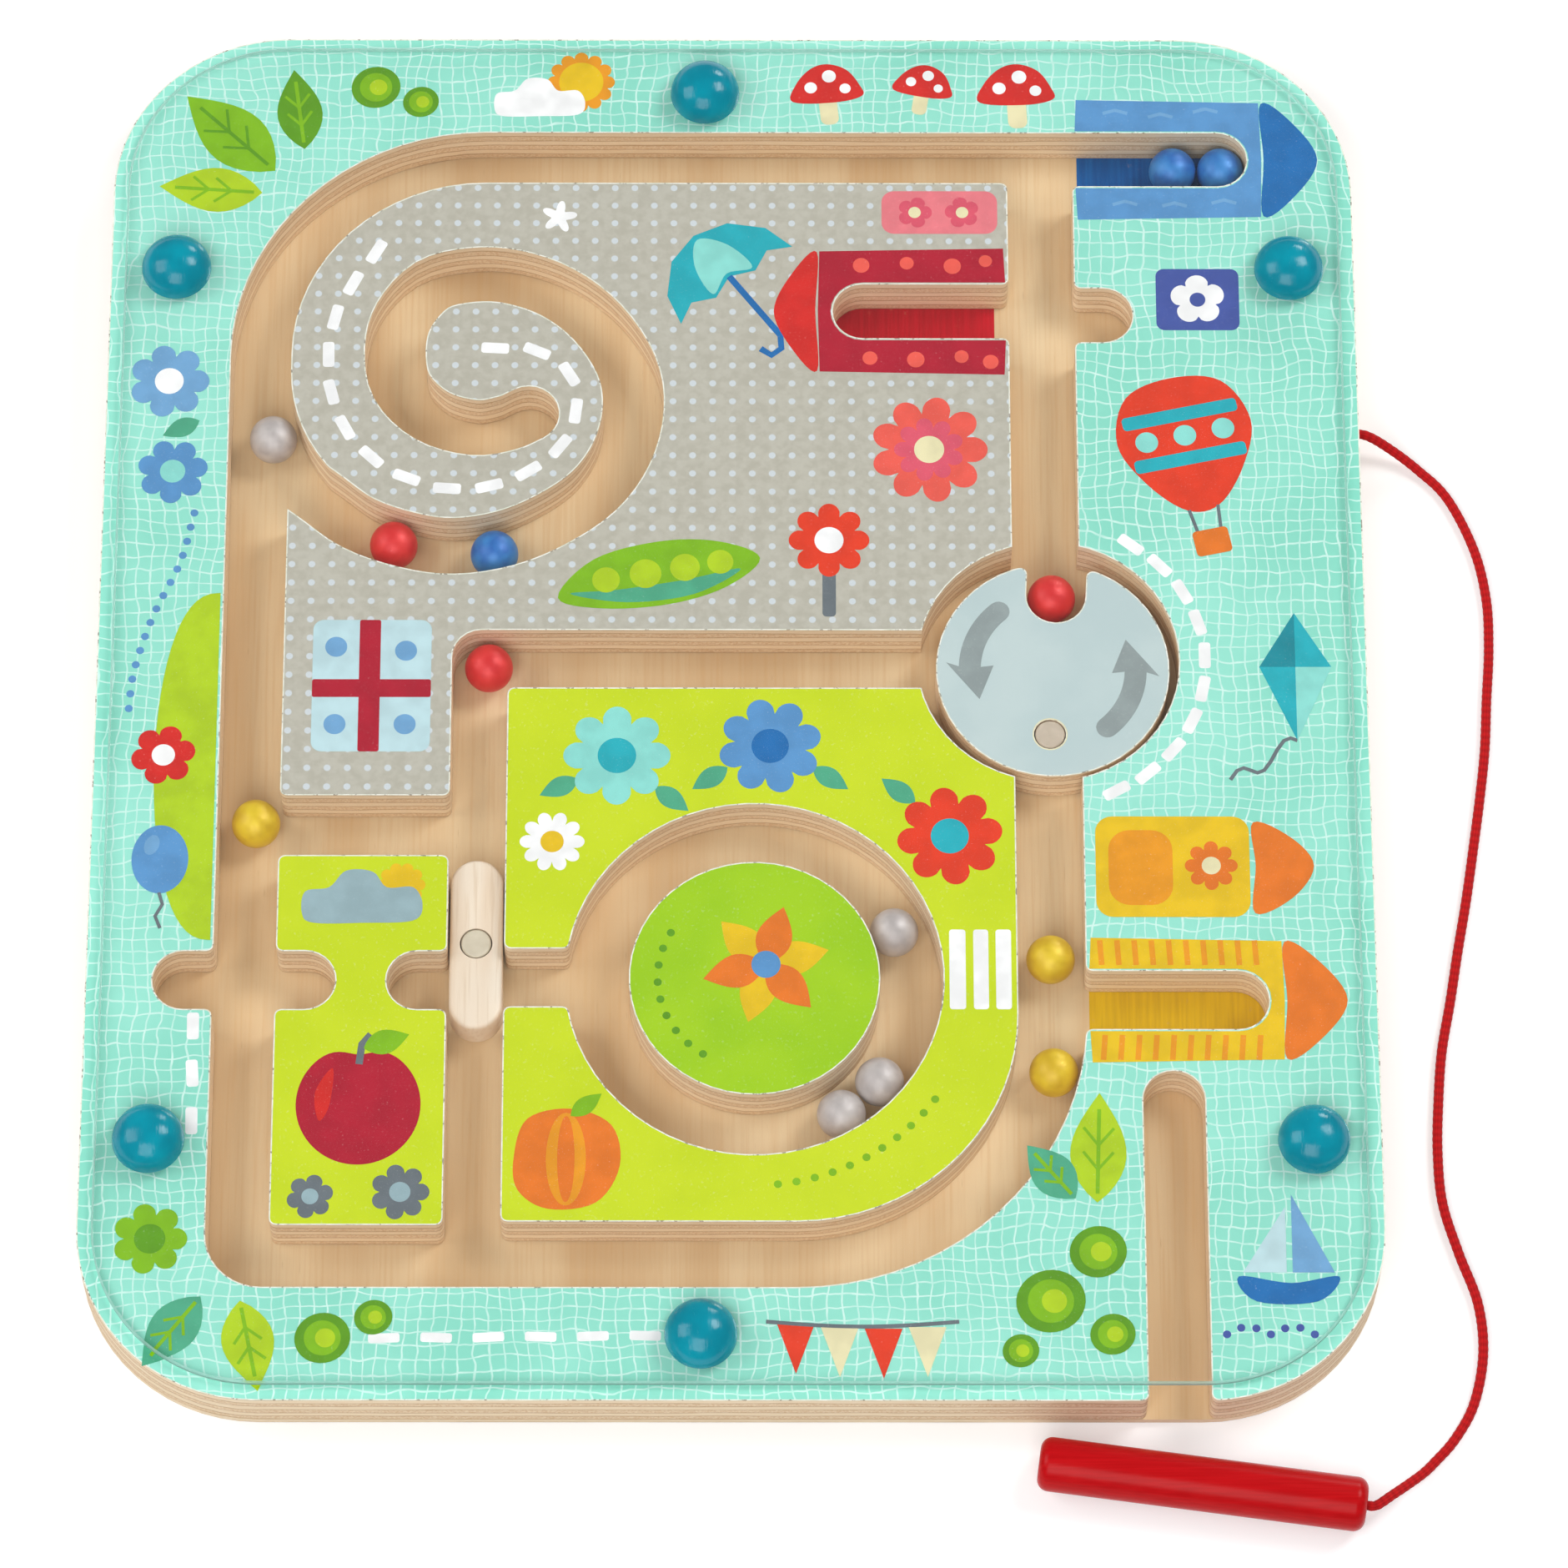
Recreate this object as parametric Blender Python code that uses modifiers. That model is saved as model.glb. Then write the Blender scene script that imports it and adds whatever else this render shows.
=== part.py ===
"""A magnetic maze board: a plywood maze under a clear sheet, steel balls, and a wand on a cord.

Metres, +Z up. The origin is the middle of the board's underside, and the front edge faces -Y.
"""

import math

import bmesh
import bpy
from mathutils import Vector

# Collections that hold the pieces and the meshes that cut them
PARTS = "magnetic_maze_board"
CUTTERS = "cutters"

# Board and its layers, from the bottom up
BOARD_WIDTH = 0.3000
BOARD_DEPTH = 0.3515
BOARD_CORNER = 0.0420
BASE_THICKNESS = 0.0020
PLATE_THICKNESS = 0.0128
COVER_THICKNESS = 0.0020
COVER_INSET = 0.0035
GLUE_LINE = 0.0002

# Clearances and the fineness of curves
PLAY = 0.0003
OVERRUN = 0.0020
CURVE_SAG = 0.00006
MERGE_DISTANCE = 0.00001
EDGE_ROUND = 0.0016

# The solid rims round the maze opening, most as shares of the board
LEFT_RIM = BOARD_WIDTH * 0.098667
RIGHT_RIM = BOARD_WIDTH * 0.225667
BACK_RIM = BOARD_DEPTH * 0.074538
FRONT_RIM = BOARD_DEPTH * 0.077240
BACK_LEFT_CURVE = 0.0606
FRONT_LEFT_CURVE = 0.0130
FRONT_RIGHT_CURVE = 0.0673

# Widths of the lanes between the islands
LEFT_LANE = 0.0145
BACK_LANE = 0.0137
RIGHT_LANE = 0.0158
FRONT_LANE = 0.0159
MIDDLE_LANE = 0.0149
LOCK_LANE = 0.0132
RING_LANE = 0.0147
SPIRAL_LANE = 0.0146
SLOT_WIDTH = 0.0145

# Garages and notches, which are all one ball wide
GARAGE_DEPTH = 0.0424
NOTCH_DEPTH = 0.0140
RED_GARAGE_FROM_BACK = BOARD_DEPTH * 0.099147
YELLOW_GARAGE_FROM_FRONT = BOARD_DEPTH * 0.201280
RIGHT_NOTCH_SHIFT = 0.0010
CROSSING_SHIFT = 0.0007

# Spiral island
SPIRAL_ISLAND_DEPTH = BOARD_DEPTH * 0.339687
LEG_WIDTH = BOARD_WIDTH * 0.132667
LEG_DROP = BOARD_DEPTH * 0.121479
LEG_FILLET = 0.0070
ARM_CURVE = 0.0394
ARM_CURVE_FROM_BACK = 0.0509
ARM_CURVE_TURN = math.radians(45)
LANE_MOUTH_FROM_BACK = BOARD_DEPTH * 0.247226
SPIRAL_FROM_LEFT = BOARD_WIDTH * 0.153000
SPIRAL_FROM_BACK = BOARD_DEPTH * 0.173257
SPIRAL_SPAN = 0.0500

# Centre line of the spiral lane, from its mouth inwards
SPIRAL_SHARES = (
    (-1.10, -0.22), (-0.79, -0.45), (-0.58, -0.61), (-0.34, -0.70), (-0.12, -0.73), (0.12, -0.69),
    (0.34, -0.59), (0.54, -0.44), (0.67, -0.24), (0.725, 0.0), (0.69, 0.23), (0.55, 0.46),
    (0.36, 0.62), (0.14, 0.705), (-0.06, 0.715), (-0.25, 0.66), (-0.38, 0.50), (-0.42, 0.32),
    (-0.386, 0.116), (-0.24, -0.04), (-0.04, -0.104), (0.12, -0.08), (0.224, -0.03),
)
SPIRAL_STEPS = 4

# Ring island, the hub in its ring and the notched island beside it
RING_SHIFT_X = -0.00145
RING_FROM_FRONT = BOARD_DEPTH * 0.171835
HUB_RADIUS = 0.0292
NOTCH_ISLAND_GAP = 0.0152
NOTCH_ISLAND_LANE = 0.01505

# Turntable
POCKET_RADIUS = 0.0309
POCKET_IN_FROM_WALL = 0.0076
POCKET_FROM_ISLAND = 0.0070
TURNTABLE_RADIUS = 0.0276
TURNTABLE_THICKNESS = 0.0116
TURNTABLE_SHIFT_X = 0.00105
TURNTABLE_SHIFT_Y = -0.0017
TURNTABLE_TURN = math.radians(-3)
TURNTABLE_NOTCH_WIDTH = 0.0141
TURNTABLE_NOTCH_DEPTH = 0.0154
PIN_RADIUS = 0.0030
PIN_HOLE_DEPTH = 0.0075
PIN_SEAT_DEPTH = 0.0014

# Lock slider
SLIDER_LENGTH = 0.0425
SLIDER_THICKNESS = 0.0096
SLIDER_SIDE_PLAY = 0.0004
SLIDER_FROM_LEG = 0.03625

# Steel plugs let into the turntable and the slider
PLUG_RADIUS = 0.0035
PLUG_DEPTH = 0.0040
TURNTABLE_PLUG_FROM_AXIS = 0.0168

# Studs that pin the cover down
STUD_RADIUS = 0.00835
STUD_HEIGHT = 0.0070
PEG_RADIUS = 0.0030
PEG_DEPTH = 0.0100
SIDE_STUD_INSET = 0.0160
BACK_ROW_INSET = 0.06425
FRONT_ROW_INSET = 0.06245
END_STUD_SHIFT = -0.00685
BACK_STUD_INSET = 0.01635
FRONT_STUD_INSET = 0.01505

# Balls
BALL_RADIUS = 0.0057
BALL_SIDES = 18
SPIRAL_TURN_RADIUS = 0.04285
SPIRAL_TURN_SHIFT_X = -0.0070
SPIRAL_TURN_SHIFT_Y = 0.0068
MIDDLE_BALL_FROM_LEG = 0.0085
LEFT_BALL_FROM_LEG = 0.0043
YELLOW_BALL_FROM_GARAGE = 0.01295
NOTCH_BALL_FROM_AXIS = 0.0210

# Slot for the wand in the front edge
WAND_SLOT_WIDTH = 0.0143
WAND_SLOT_LENGTH = BOARD_DEPTH * 0.228307
WAND_SLOT_FROM_RIGHT = BOARD_WIDTH * 0.135667

# Wand
WAND_RADIUS = 0.0063
WAND_LENGTH = 0.0750
WAND_ROUND = 0.0027
WAND_TURN = math.radians(-7.8)
MAGNET_RADIUS = 0.0040
MAGNET_LENGTH = 0.0080
TIP_LENGTH = 0.0025
WAND_HOLE_DEPTH = 0.0080
WAND_HOLE_RADIUS = 0.00195

# Cord, and where it leaves the board's right side
CORD_RADIUS = 0.00125
CORD_HOLE_DEPTH = 0.0060
CORD_EXIT_FROM_FRONT = 0.24765
CORD_EXIT_HEIGHT = 0.0080
CORD_GRIP = 0.0030
CORD_SPACING = 0.0050
CORD_STEPS = 40
CORD_LIFT = 0.00005

# Route of the cord, from its exit in the board's side to the wand
CORD_ROUTE = (
    (-0.0030, 0.0000, 0.0000), (0.0020, -0.0001, -0.0002), (0.0080, -0.0019, -0.0038),
    (0.0152, -0.0066, -0.0065), (0.0219, -0.0141, -0.0067), (0.0277, -0.0275, -0.0067),
    (0.0302, -0.0407, -0.0067), (0.0303, -0.0539, -0.0067), (0.0293, -0.0671, -0.0067),
    (0.0284, -0.0801, -0.0067), (0.0267, -0.0931, -0.0067), (0.0247, -0.1060, -0.0067),
    (0.0226, -0.1189, -0.0067), (0.0202, -0.1317, -0.0067), (0.0180, -0.1444, -0.0067),
    (0.0156, -0.1570, -0.0067), (0.0144, -0.1695, -0.0067), (0.0138, -0.1820, -0.0067),
    (0.0145, -0.1945, -0.0067), (0.0178, -0.2068, -0.0067), (0.0218, -0.2191, -0.0067),
    (0.0226, -0.2314, -0.0067), (0.0201, -0.2435, -0.0067), (0.0155, -0.2520, -0.0067),
    (0.0106, -0.2577, -0.0065), (0.0077, -0.2607, -0.0058), (0.0039, -0.2639, -0.0044),
    (0.0002, -0.2669, -0.0028), (-0.0034, -0.2696, -0.0018), (-0.0056, -0.26965, -0.0017),
    (-0.0086, -0.26925, -0.0017),
)

# Heights worked out from the layers
PLATE_BOTTOM = BASE_THICKNESS + GLUE_LINE
PLATE_TOP = PLATE_BOTTOM + PLATE_THICKNESS
COVER_BOTTOM = PLATE_TOP + GLUE_LINE
STUD_SEAT = COVER_BOTTOM + COVER_THICKNESS + GLUE_LINE
PLAY_FLOOR = BASE_THICKNESS + PLAY
BALL_HEIGHT = PLAY_FLOOR + BALL_RADIUS

# Walls of the maze opening
SIDE = BOARD_WIDTH / 2
END = BOARD_DEPTH / 2
LEFT_WALL = LEFT_RIM - SIDE
RIGHT_WALL = SIDE - RIGHT_RIM
BACK_WALL = END - BACK_RIM
FRONT_WALL = FRONT_RIM - END
FRONT_RIGHT_X = RIGHT_WALL - FRONT_RIGHT_CURVE
FRONT_RIGHT_Y = FRONT_WALL + FRONT_RIGHT_CURVE

# Edges of the islands
ISLAND_LEFT = LEFT_WALL + LEFT_LANE
ISLAND_RIGHT = RIGHT_WALL - RIGHT_LANE
SPIRAL_ISLAND_BACK = BACK_WALL - BACK_LANE
SPIRAL_ISLAND_FRONT = SPIRAL_ISLAND_BACK - SPIRAL_ISLAND_DEPTH
LEG_RIGHT = ISLAND_LEFT + LEG_WIDTH
LEG_FRONT = SPIRAL_ISLAND_FRONT - LEG_DROP
NOTCH_ISLAND_BACK = LEG_FRONT - NOTCH_ISLAND_GAP
NOTCH_ISLAND_FRONT = FRONT_WALL + NOTCH_ISLAND_LANE
RING_ISLAND_LEFT = LEG_RIGHT + LOCK_LANE
RING_ISLAND_BACK = SPIRAL_ISLAND_FRONT - MIDDLE_LANE
RING_ISLAND_FRONT = FRONT_WALL + FRONT_LANE

# Places in the maze
RING_X = (RING_ISLAND_LEFT + ISLAND_RIGHT) / 2 + RING_SHIFT_X
RING_Y = RING_ISLAND_FRONT + RING_FROM_FRONT
RING_RADIUS = HUB_RADIUS + RING_LANE
CROSSING_Y = RING_Y - CROSSING_SHIFT
BLUE_GARAGE_Y = BACK_WALL - SLOT_WIDTH / 2
RED_GARAGE_Y = SPIRAL_ISLAND_BACK - RED_GARAGE_FROM_BACK
RIGHT_NOTCH_Y = RED_GARAGE_Y - RIGHT_NOTCH_SHIFT
YELLOW_GARAGE_Y = FRONT_WALL + YELLOW_GARAGE_FROM_FRONT
GARAGE_END = RIGHT_WALL + GARAGE_DEPTH
SPIRAL_X = ISLAND_LEFT + SPIRAL_FROM_LEFT
SPIRAL_Y = SPIRAL_ISLAND_BACK - SPIRAL_FROM_BACK
POCKET_X = RIGHT_WALL - POCKET_IN_FROM_WALL
POCKET_Y = RING_ISLAND_BACK + POCKET_FROM_ISLAND
TURNTABLE_X = POCKET_X + TURNTABLE_SHIFT_X
TURNTABLE_Y = POCKET_Y + TURNTABLE_SHIFT_Y
TURNTABLE_TOP = PLAY_FLOOR + TURNTABLE_THICKNESS
TURNTABLE_NOTCH_END = TURNTABLE_RADIUS - TURNTABLE_NOTCH_DEPTH
SLIDER_X = (LEG_RIGHT + RING_ISLAND_LEFT) / 2
SLIDER_Y = LEG_FRONT - SLIDER_FROM_LEG
SLIDER_TOP = PLAY_FLOOR + SLIDER_THICKNESS
WAND_SLOT_RIGHT = SIDE - WAND_SLOT_FROM_RIGHT
WAND_SLOT_LEFT = WAND_SLOT_RIGHT - WAND_SLOT_WIDTH
CORD_EXIT = Vector((SIDE, CORD_EXIT_FROM_FRONT - END, CORD_EXIT_HEIGHT))
CORD_HOLE_RADIUS = CORD_RADIUS + PLAY

# Colour, roughness and metallic value of each material
MATERIALS = {
    "base_ply": ((0.60, 0.42, 0.24), 0.70, 0.0),
    "mint_print": ((0.30, 0.72, 0.58), 0.55, 0.0),
    "grey_print": ((0.50, 0.49, 0.43), 0.55, 0.0),
    "green_print": ((0.36, 0.62, 0.02), 0.55, 0.0),
    "turntable_paint": ((0.54, 0.66, 0.66), 0.55, 0.0),
    "birch": ((0.84, 0.73, 0.60), 0.60, 0.0),
    "clear_acrylic": ((0.85, 0.92, 0.90), 0.08, 0.0),
    "turquoise_plastic": ((0.01, 0.30, 0.39), 0.20, 0.0),
    "red_lacquer": ((0.50, 0.01, 0.01), 0.25, 0.0),
    "red_braid": ((0.50, 0.01, 0.01), 0.85, 0.0),
    "bright_steel": ((0.60, 0.58, 0.55), 0.30, 1.0),
    "silver_ball": ((0.38, 0.35, 0.34), 0.30, 0.9),
    "red_ball": ((0.55, 0.02, 0.02), 0.25, 0.6),
    "blue_ball": ((0.02, 0.10, 0.33), 0.25, 0.6),
    "yellow_ball": ((0.55, 0.38, 0.02), 0.25, 0.6),
}


def clear_scene():
    """Take away what the file already holds."""
    for item in list(bpy.data.objects):
        bpy.data.objects.remove(item, do_unlink=True)
    for group in list(bpy.data.collections):
        bpy.data.collections.remove(group)


def make_collection(name):
    """A collection under the scene."""
    group = bpy.data.collections.new(name)
    bpy.context.scene.collection.children.link(group)
    return group


def make_material(name):
    """The named material as a Principled surface."""
    if name in bpy.data.materials:
        return bpy.data.materials[name]
    colour, roughness, metallic = MATERIALS[name]
    material = bpy.data.materials.new(name)
    material.use_nodes = True
    shader = material.node_tree.nodes["Principled BSDF"]
    shader.inputs["Base Color"].default_value = (*colour, 1.0)
    shader.inputs["Roughness"].default_value = roughness
    shader.inputs["Metallic"].default_value = metallic
    return material


def make_piece(name, mesh, material, location=(0, 0, 0), rotation=(0, 0, 0), parent=None):
    """One named sub-part from a mesh."""
    piece = bpy.data.objects.new(name, mesh)
    piece.location = location
    piece.rotation_euler = rotation
    piece.parent = parent
    mesh.materials.append(make_material(material))
    bpy.data.collections[PARTS].objects.link(piece)
    return piece


def make_cutter(name, mesh, location=(0, 0, 0), rotation=(0, 0, 0), parent=None):
    """A mesh that only cuts other pieces."""
    cutter = bpy.data.objects.new(name, mesh)
    cutter.location = location
    cutter.rotation_euler = rotation
    cutter.parent = parent
    cutter.hide_render = True
    cutter.display_type = "WIRE"
    bpy.data.collections[CUTTERS].objects.link(cutter)
    return cutter


def cut(piece, *cutters):
    """Subtract each cutter from the piece."""
    for cutter in cutters:
        modifier = piece.modifiers.new(cutter.name, "BOOLEAN")
        modifier.operation = "DIFFERENCE"
        modifier.solver = "EXACT"
        modifier.object = cutter


def make_pivot(name, x, y):
    """An empty on a joint's upright axis."""
    pivot = bpy.data.objects.new(name, None)
    pivot.location = (x, y, 0)
    bpy.data.collections[PARTS].objects.link(pivot)
    return pivot


def arc_steps(radius, turn):
    """How many straight steps keep an arc within the allowed sag."""
    step = 2 * math.acos(1 - min(CURVE_SAG / radius, 1))
    return max(1, math.ceil(abs(turn) / step))


def arc(x, y, radius, start, end):
    """Sharp corners along an arc, from start up to but without end."""
    steps = arc_steps(radius, end - start)
    angles = [start + (end - start) * i / steps for i in range(steps)]
    return [(x + radius * math.cos(a), y + radius * math.sin(a), 0) for a in angles]


def fillet(before, corner, after):
    """The points that round one corner, given as x, y and radius."""
    here = Vector(corner[:2])
    radius = corner[2]
    if radius == 0:
        return [tuple(here)]
    back = (Vector(before[:2]) - here).normalized()
    onward = (Vector(after[:2]) - here).normalized()
    half = back.angle(onward) / 2
    centre = here + (back + onward).normalized() * radius / math.sin(half)
    first = here + back * radius / math.tan(half) - centre
    turn = math.pi - 2 * half
    if back.cross(onward) > 0:
        turn = -turn
    steps = arc_steps(radius, turn)
    points = []
    for i in range(steps + 1):
        angle = turn * i / steps
        x = first.x * math.cos(angle) - first.y * math.sin(angle)
        y = first.x * math.sin(angle) + first.y * math.cos(angle)
        points.append((centre.x + x, centre.y + y))
    return points


def rounded(corners):
    """A closed outline with every corner rounded by its own radius."""
    points = []
    for i, corner in enumerate(corners):
        points += fillet(corners[i - 1], corner, corners[(i + 1) % len(corners)])
    return points


def circle(radius):
    """A round outline about the origin."""
    return [point[:2] for point in arc(0, 0, radius, 0, math.tau)]


def sheet_mesh(name, outlines, thickness):
    """A flat plate from closed outlines, the first outside and the rest as holes."""
    curve = bpy.data.curves.new(name, "CURVE")
    curve.dimensions = "2D"
    curve.fill_mode = "BOTH"
    curve.extrude = thickness / 2
    for outline in outlines:
        spline = curve.splines.new("POLY")
        spline.points.add(len(outline) - 1)
        for point, (x, y) in zip(spline.points, outline):
            point.co = (x, y, 0, 1)
        spline.use_cyclic_u = True
    return curve_mesh(name, curve)


def curve_mesh(name, curve):
    """The welded mesh of a curve, which is then removed."""
    holder = bpy.data.objects.new(name, curve)
    bpy.context.scene.collection.objects.link(holder)
    graph = bpy.context.evaluated_depsgraph_get()
    mesh = bpy.data.meshes.new_from_object(holder.evaluated_get(graph))
    mesh.name = name
    shape = bmesh.new()
    shape.from_mesh(mesh)
    bmesh.ops.remove_doubles(shape, verts=shape.verts, dist=MERGE_DISTANCE)
    bmesh.ops.recalc_face_normals(shape, faces=shape.faces)
    shape.to_mesh(mesh)
    shape.free()
    bpy.data.objects.remove(holder, do_unlink=True)
    bpy.data.curves.remove(curve)
    return mesh


def plate(name, outlines, low, high, material, **placing):
    """A flat plate between two heights."""
    x, y = placing.pop("centre", (0, 0))
    mesh = sheet_mesh(name, outlines, high - low)
    return make_piece(name, mesh, material, location=(x, y, (low + high) / 2), **placing)


def prism_cutter(name, outline, low, high):
    """An upright cutter with a flat outline."""
    return make_cutter(name, sheet_mesh(name, [outline], high - low), location=(0, 0, (low + high) / 2))


def rod_mesh(name, radius, length, places=((0, 0),)):
    """Upright cylinders about z = 0, one at each place."""
    shape = bmesh.new()
    for x, y in places:
        made = bmesh.ops.create_cone(
            shape, cap_ends=True, segments=arc_steps(radius, math.tau),
            radius1=radius, radius2=radius, depth=length)
        bmesh.ops.translate(shape, verts=made["verts"], vec=(x, y, 0))
    mesh = bpy.data.meshes.new(name)
    shape.to_mesh(mesh)
    shape.free()
    return mesh


def turned_piece(name, profile, material, **placing):
    """A turned piece: the profile, given from top to bottom, spun about Z."""
    mesh = bpy.data.meshes.new(name)
    points = [(x, 0, z) for x, z in profile]
    mesh.from_pydata(points, [(i, i + 1) for i in range(len(points) - 1)], [])
    piece = make_piece(name, mesh, material, **placing)
    widest = max(x for x, z in profile)
    screw = piece.modifiers.new("turn", "SCREW")
    screw.axis = "Z"
    screw.angle = math.tau
    screw.steps = arc_steps(widest, math.tau)
    screw.render_steps = screw.steps
    screw.use_merge_vertices = True
    screw.merge_threshold = MERGE_DISTANCE
    screw.use_smooth_shade = True
    return piece


def garage(mouth_x, y, depth, radius):
    """Corners of a round-ended slot that runs in +X or -X from a wall, listed from high to low y."""
    half = SLOT_WIDTH / 2
    end = mouth_x + depth
    return [
        (mouth_x, y + half, radius), (end, y + half, half),
        (end, y - half, half), (mouth_x, y - half, radius),
    ]


def board_outline(inset):
    """The board's rounded rectangle, drawn in by an inset."""
    x = SIDE - inset
    y = END - inset
    radius = BOARD_CORNER - inset
    return rounded([(-x, y, radius), (x, y, radius), (x, -y, radius), (-x, -y, radius)])


def frame_outline():
    """The board's outline with the wand's slot in the front edge."""
    corner_x = SIDE - BOARD_CORNER
    corner_y = BOARD_CORNER - END
    over = max(0, WAND_SLOT_RIGHT - corner_x)
    meet = math.acos(over / BOARD_CORNER)
    mouth_y = corner_y - BOARD_CORNER * math.sin(meet)
    end = WAND_SLOT_LENGTH - END
    half = WAND_SLOT_WIDTH / 2
    corners = [(-SIDE, END, BOARD_CORNER), (SIDE, END, BOARD_CORNER)]
    corners += arc(corner_x, corner_y, BOARD_CORNER, 0, -meet)
    corners += [(WAND_SLOT_RIGHT, mouth_y, EDGE_ROUND), (WAND_SLOT_RIGHT, end, half)]
    corners += [(WAND_SLOT_LEFT, end, half), (WAND_SLOT_LEFT, -END, EDGE_ROUND)]
    corners += [(-SIDE, -END, BOARD_CORNER)]
    return rounded(corners)


def maze_opening():
    """The hole in the frame, clockwise from the back left."""
    blue = garage(RIGHT_WALL, BLUE_GARAGE_Y, GARAGE_DEPTH, EDGE_ROUND)[1:]
    notch = garage(RIGHT_WALL, RIGHT_NOTCH_Y, NOTCH_DEPTH, EDGE_ROUND)
    yellow = garage(RIGHT_WALL, YELLOW_GARAGE_Y, GARAGE_DEPTH, EDGE_ROUND)[:3]
    left_notch = garage(LEFT_WALL, CROSSING_Y, -NOTCH_DEPTH, EDGE_ROUND)
    mouth_y = YELLOW_GARAGE_Y - SLOT_WIDTH / 2
    start = -math.asin(max(0, FRONT_RIGHT_Y - mouth_y) / FRONT_RIGHT_CURVE)
    curve = arc(FRONT_RIGHT_X, FRONT_RIGHT_Y, FRONT_RIGHT_CURVE, start, -math.pi / 2)
    mouth = [(curve[0][0], mouth_y, EDGE_ROUND)]
    corners = [(LEFT_WALL, BACK_WALL, BACK_LEFT_CURVE)] + blue + notch + yellow + mouth + curve[1:]
    corners += [(FRONT_RIGHT_X, FRONT_WALL, 0), (LEFT_WALL, FRONT_WALL, FRONT_LEFT_CURVE)]
    corners += left_notch[::-1]
    return rounded(corners)


def spiral_island_outline():
    """The large back island, clockwise from the back left, before its lane is cut."""
    arm_x = ISLAND_LEFT + ARM_CURVE
    arm_y = SPIRAL_ISLAND_BACK - ARM_CURVE_FROM_BACK
    mouth_y = SPIRAL_ISLAND_BACK - LANE_MOUTH_FROM_BACK
    corners = [
        (ISLAND_LEFT, SPIRAL_ISLAND_BACK, BACK_LEFT_CURVE - LEFT_LANE),
        (ISLAND_RIGHT, SPIRAL_ISLAND_BACK, EDGE_ROUND),
    ]
    corners += garage(ISLAND_RIGHT, RED_GARAGE_Y, -GARAGE_DEPTH, EDGE_ROUND)
    corners += [
        (ISLAND_RIGHT, SPIRAL_ISLAND_FRONT, 0), (LEG_RIGHT, SPIRAL_ISLAND_FRONT, LEG_FILLET),
        (LEG_RIGHT, LEG_FRONT, EDGE_ROUND), (ISLAND_LEFT, LEG_FRONT, EDGE_ROUND),
        (ISLAND_LEFT, mouth_y, 0),
    ]
    corners += arc(arm_x, arm_y, ARM_CURVE, math.pi + ARM_CURVE_TURN, math.pi)
    corners += [(ISLAND_LEFT, arm_y, 0)]
    return rounded(corners)


def ring_island_outline():
    """The C-shaped island, clockwise from the back left, with its passage into the ring."""
    half = SLOT_WIDTH / 2
    gap = math.asin(half / RING_RADIUS)
    ring = arc(RING_X, RING_Y, RING_RADIUS, gap - math.pi, math.pi - gap)
    meet_x = RING_X - RING_RADIUS * math.cos(gap)
    corners = [
        (RING_ISLAND_LEFT, RING_ISLAND_BACK, EDGE_ROUND), (ISLAND_RIGHT, RING_ISLAND_BACK, 0),
        (ISLAND_RIGHT, RING_ISLAND_FRONT, FRONT_RIGHT_CURVE - FRONT_LANE),
        (RING_ISLAND_LEFT, RING_ISLAND_FRONT, EDGE_ROUND),
        (RING_ISLAND_LEFT, RING_Y - half, EDGE_ROUND), (meet_x, RING_Y - half, EDGE_ROUND),
    ]
    corners += ring[1:]
    corners += [(meet_x, RING_Y + half, EDGE_ROUND), (RING_ISLAND_LEFT, RING_Y + half, EDGE_ROUND)]
    return rounded(corners)


def notch_island_outline():
    """The small island with a notch in each side."""
    corners = [
        (ISLAND_LEFT, NOTCH_ISLAND_BACK, EDGE_ROUND), (LEG_RIGHT, NOTCH_ISLAND_BACK, EDGE_ROUND),
    ]
    corners += garage(LEG_RIGHT, CROSSING_Y, -NOTCH_DEPTH, EDGE_ROUND)
    corners += [
        (LEG_RIGHT, NOTCH_ISLAND_FRONT, EDGE_ROUND), (ISLAND_LEFT, NOTCH_ISLAND_FRONT, EDGE_ROUND),
    ]
    corners += garage(ISLAND_LEFT, CROSSING_Y, NOTCH_DEPTH, EDGE_ROUND)[::-1]
    return rounded(corners)


def turntable_outline():
    """A disc with one round-bottomed notch in its back rim, about its own axis."""
    half = TURNTABLE_NOTCH_WIDTH / 2
    gap = math.asin(half / TURNTABLE_RADIUS)
    mouth_y = TURNTABLE_RADIUS * math.cos(gap)
    rim = arc(0, 0, TURNTABLE_RADIUS, math.pi / 2 - gap, gap - 3 * math.pi / 2)
    corners = [(half, mouth_y, EDGE_ROUND)] + rim[1:] + [(-half, mouth_y, EDGE_ROUND)]
    corners += [(-half, TURNTABLE_NOTCH_END, half), (half, TURNTABLE_NOTCH_END, half)]
    return rounded(corners)


def slider_outline():
    """A bar with round ends, about its own centre."""
    x = LOCK_LANE / 2 - SLIDER_SIDE_PLAY
    y = SLIDER_LENGTH / 2
    return rounded([(-x, y, x), (x, y, x), (x, -y, x), (-x, -y, x)])


def smooth_path(route, steps):
    """Points on a smooth curve through a route, with the same count of steps between each pair."""
    ends = [route[0] * 2 - route[1]] + list(route) + [route[-1] * 2 - route[-2]]
    path = []
    for before, start, end, after in zip(ends, ends[1:], ends[2:], ends[3:]):
        for i in range(steps):
            t = i / steps
            straight = start * 2 + (end - before) * t
            bend = (before * 2 - start * 5 + end * 4 - after) * t ** 2
            twist = (start * 3 - before - end * 3 + after) * t ** 3
            path.append((straight + bend + twist) / 2)
    return path + [route[-1]]


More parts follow.
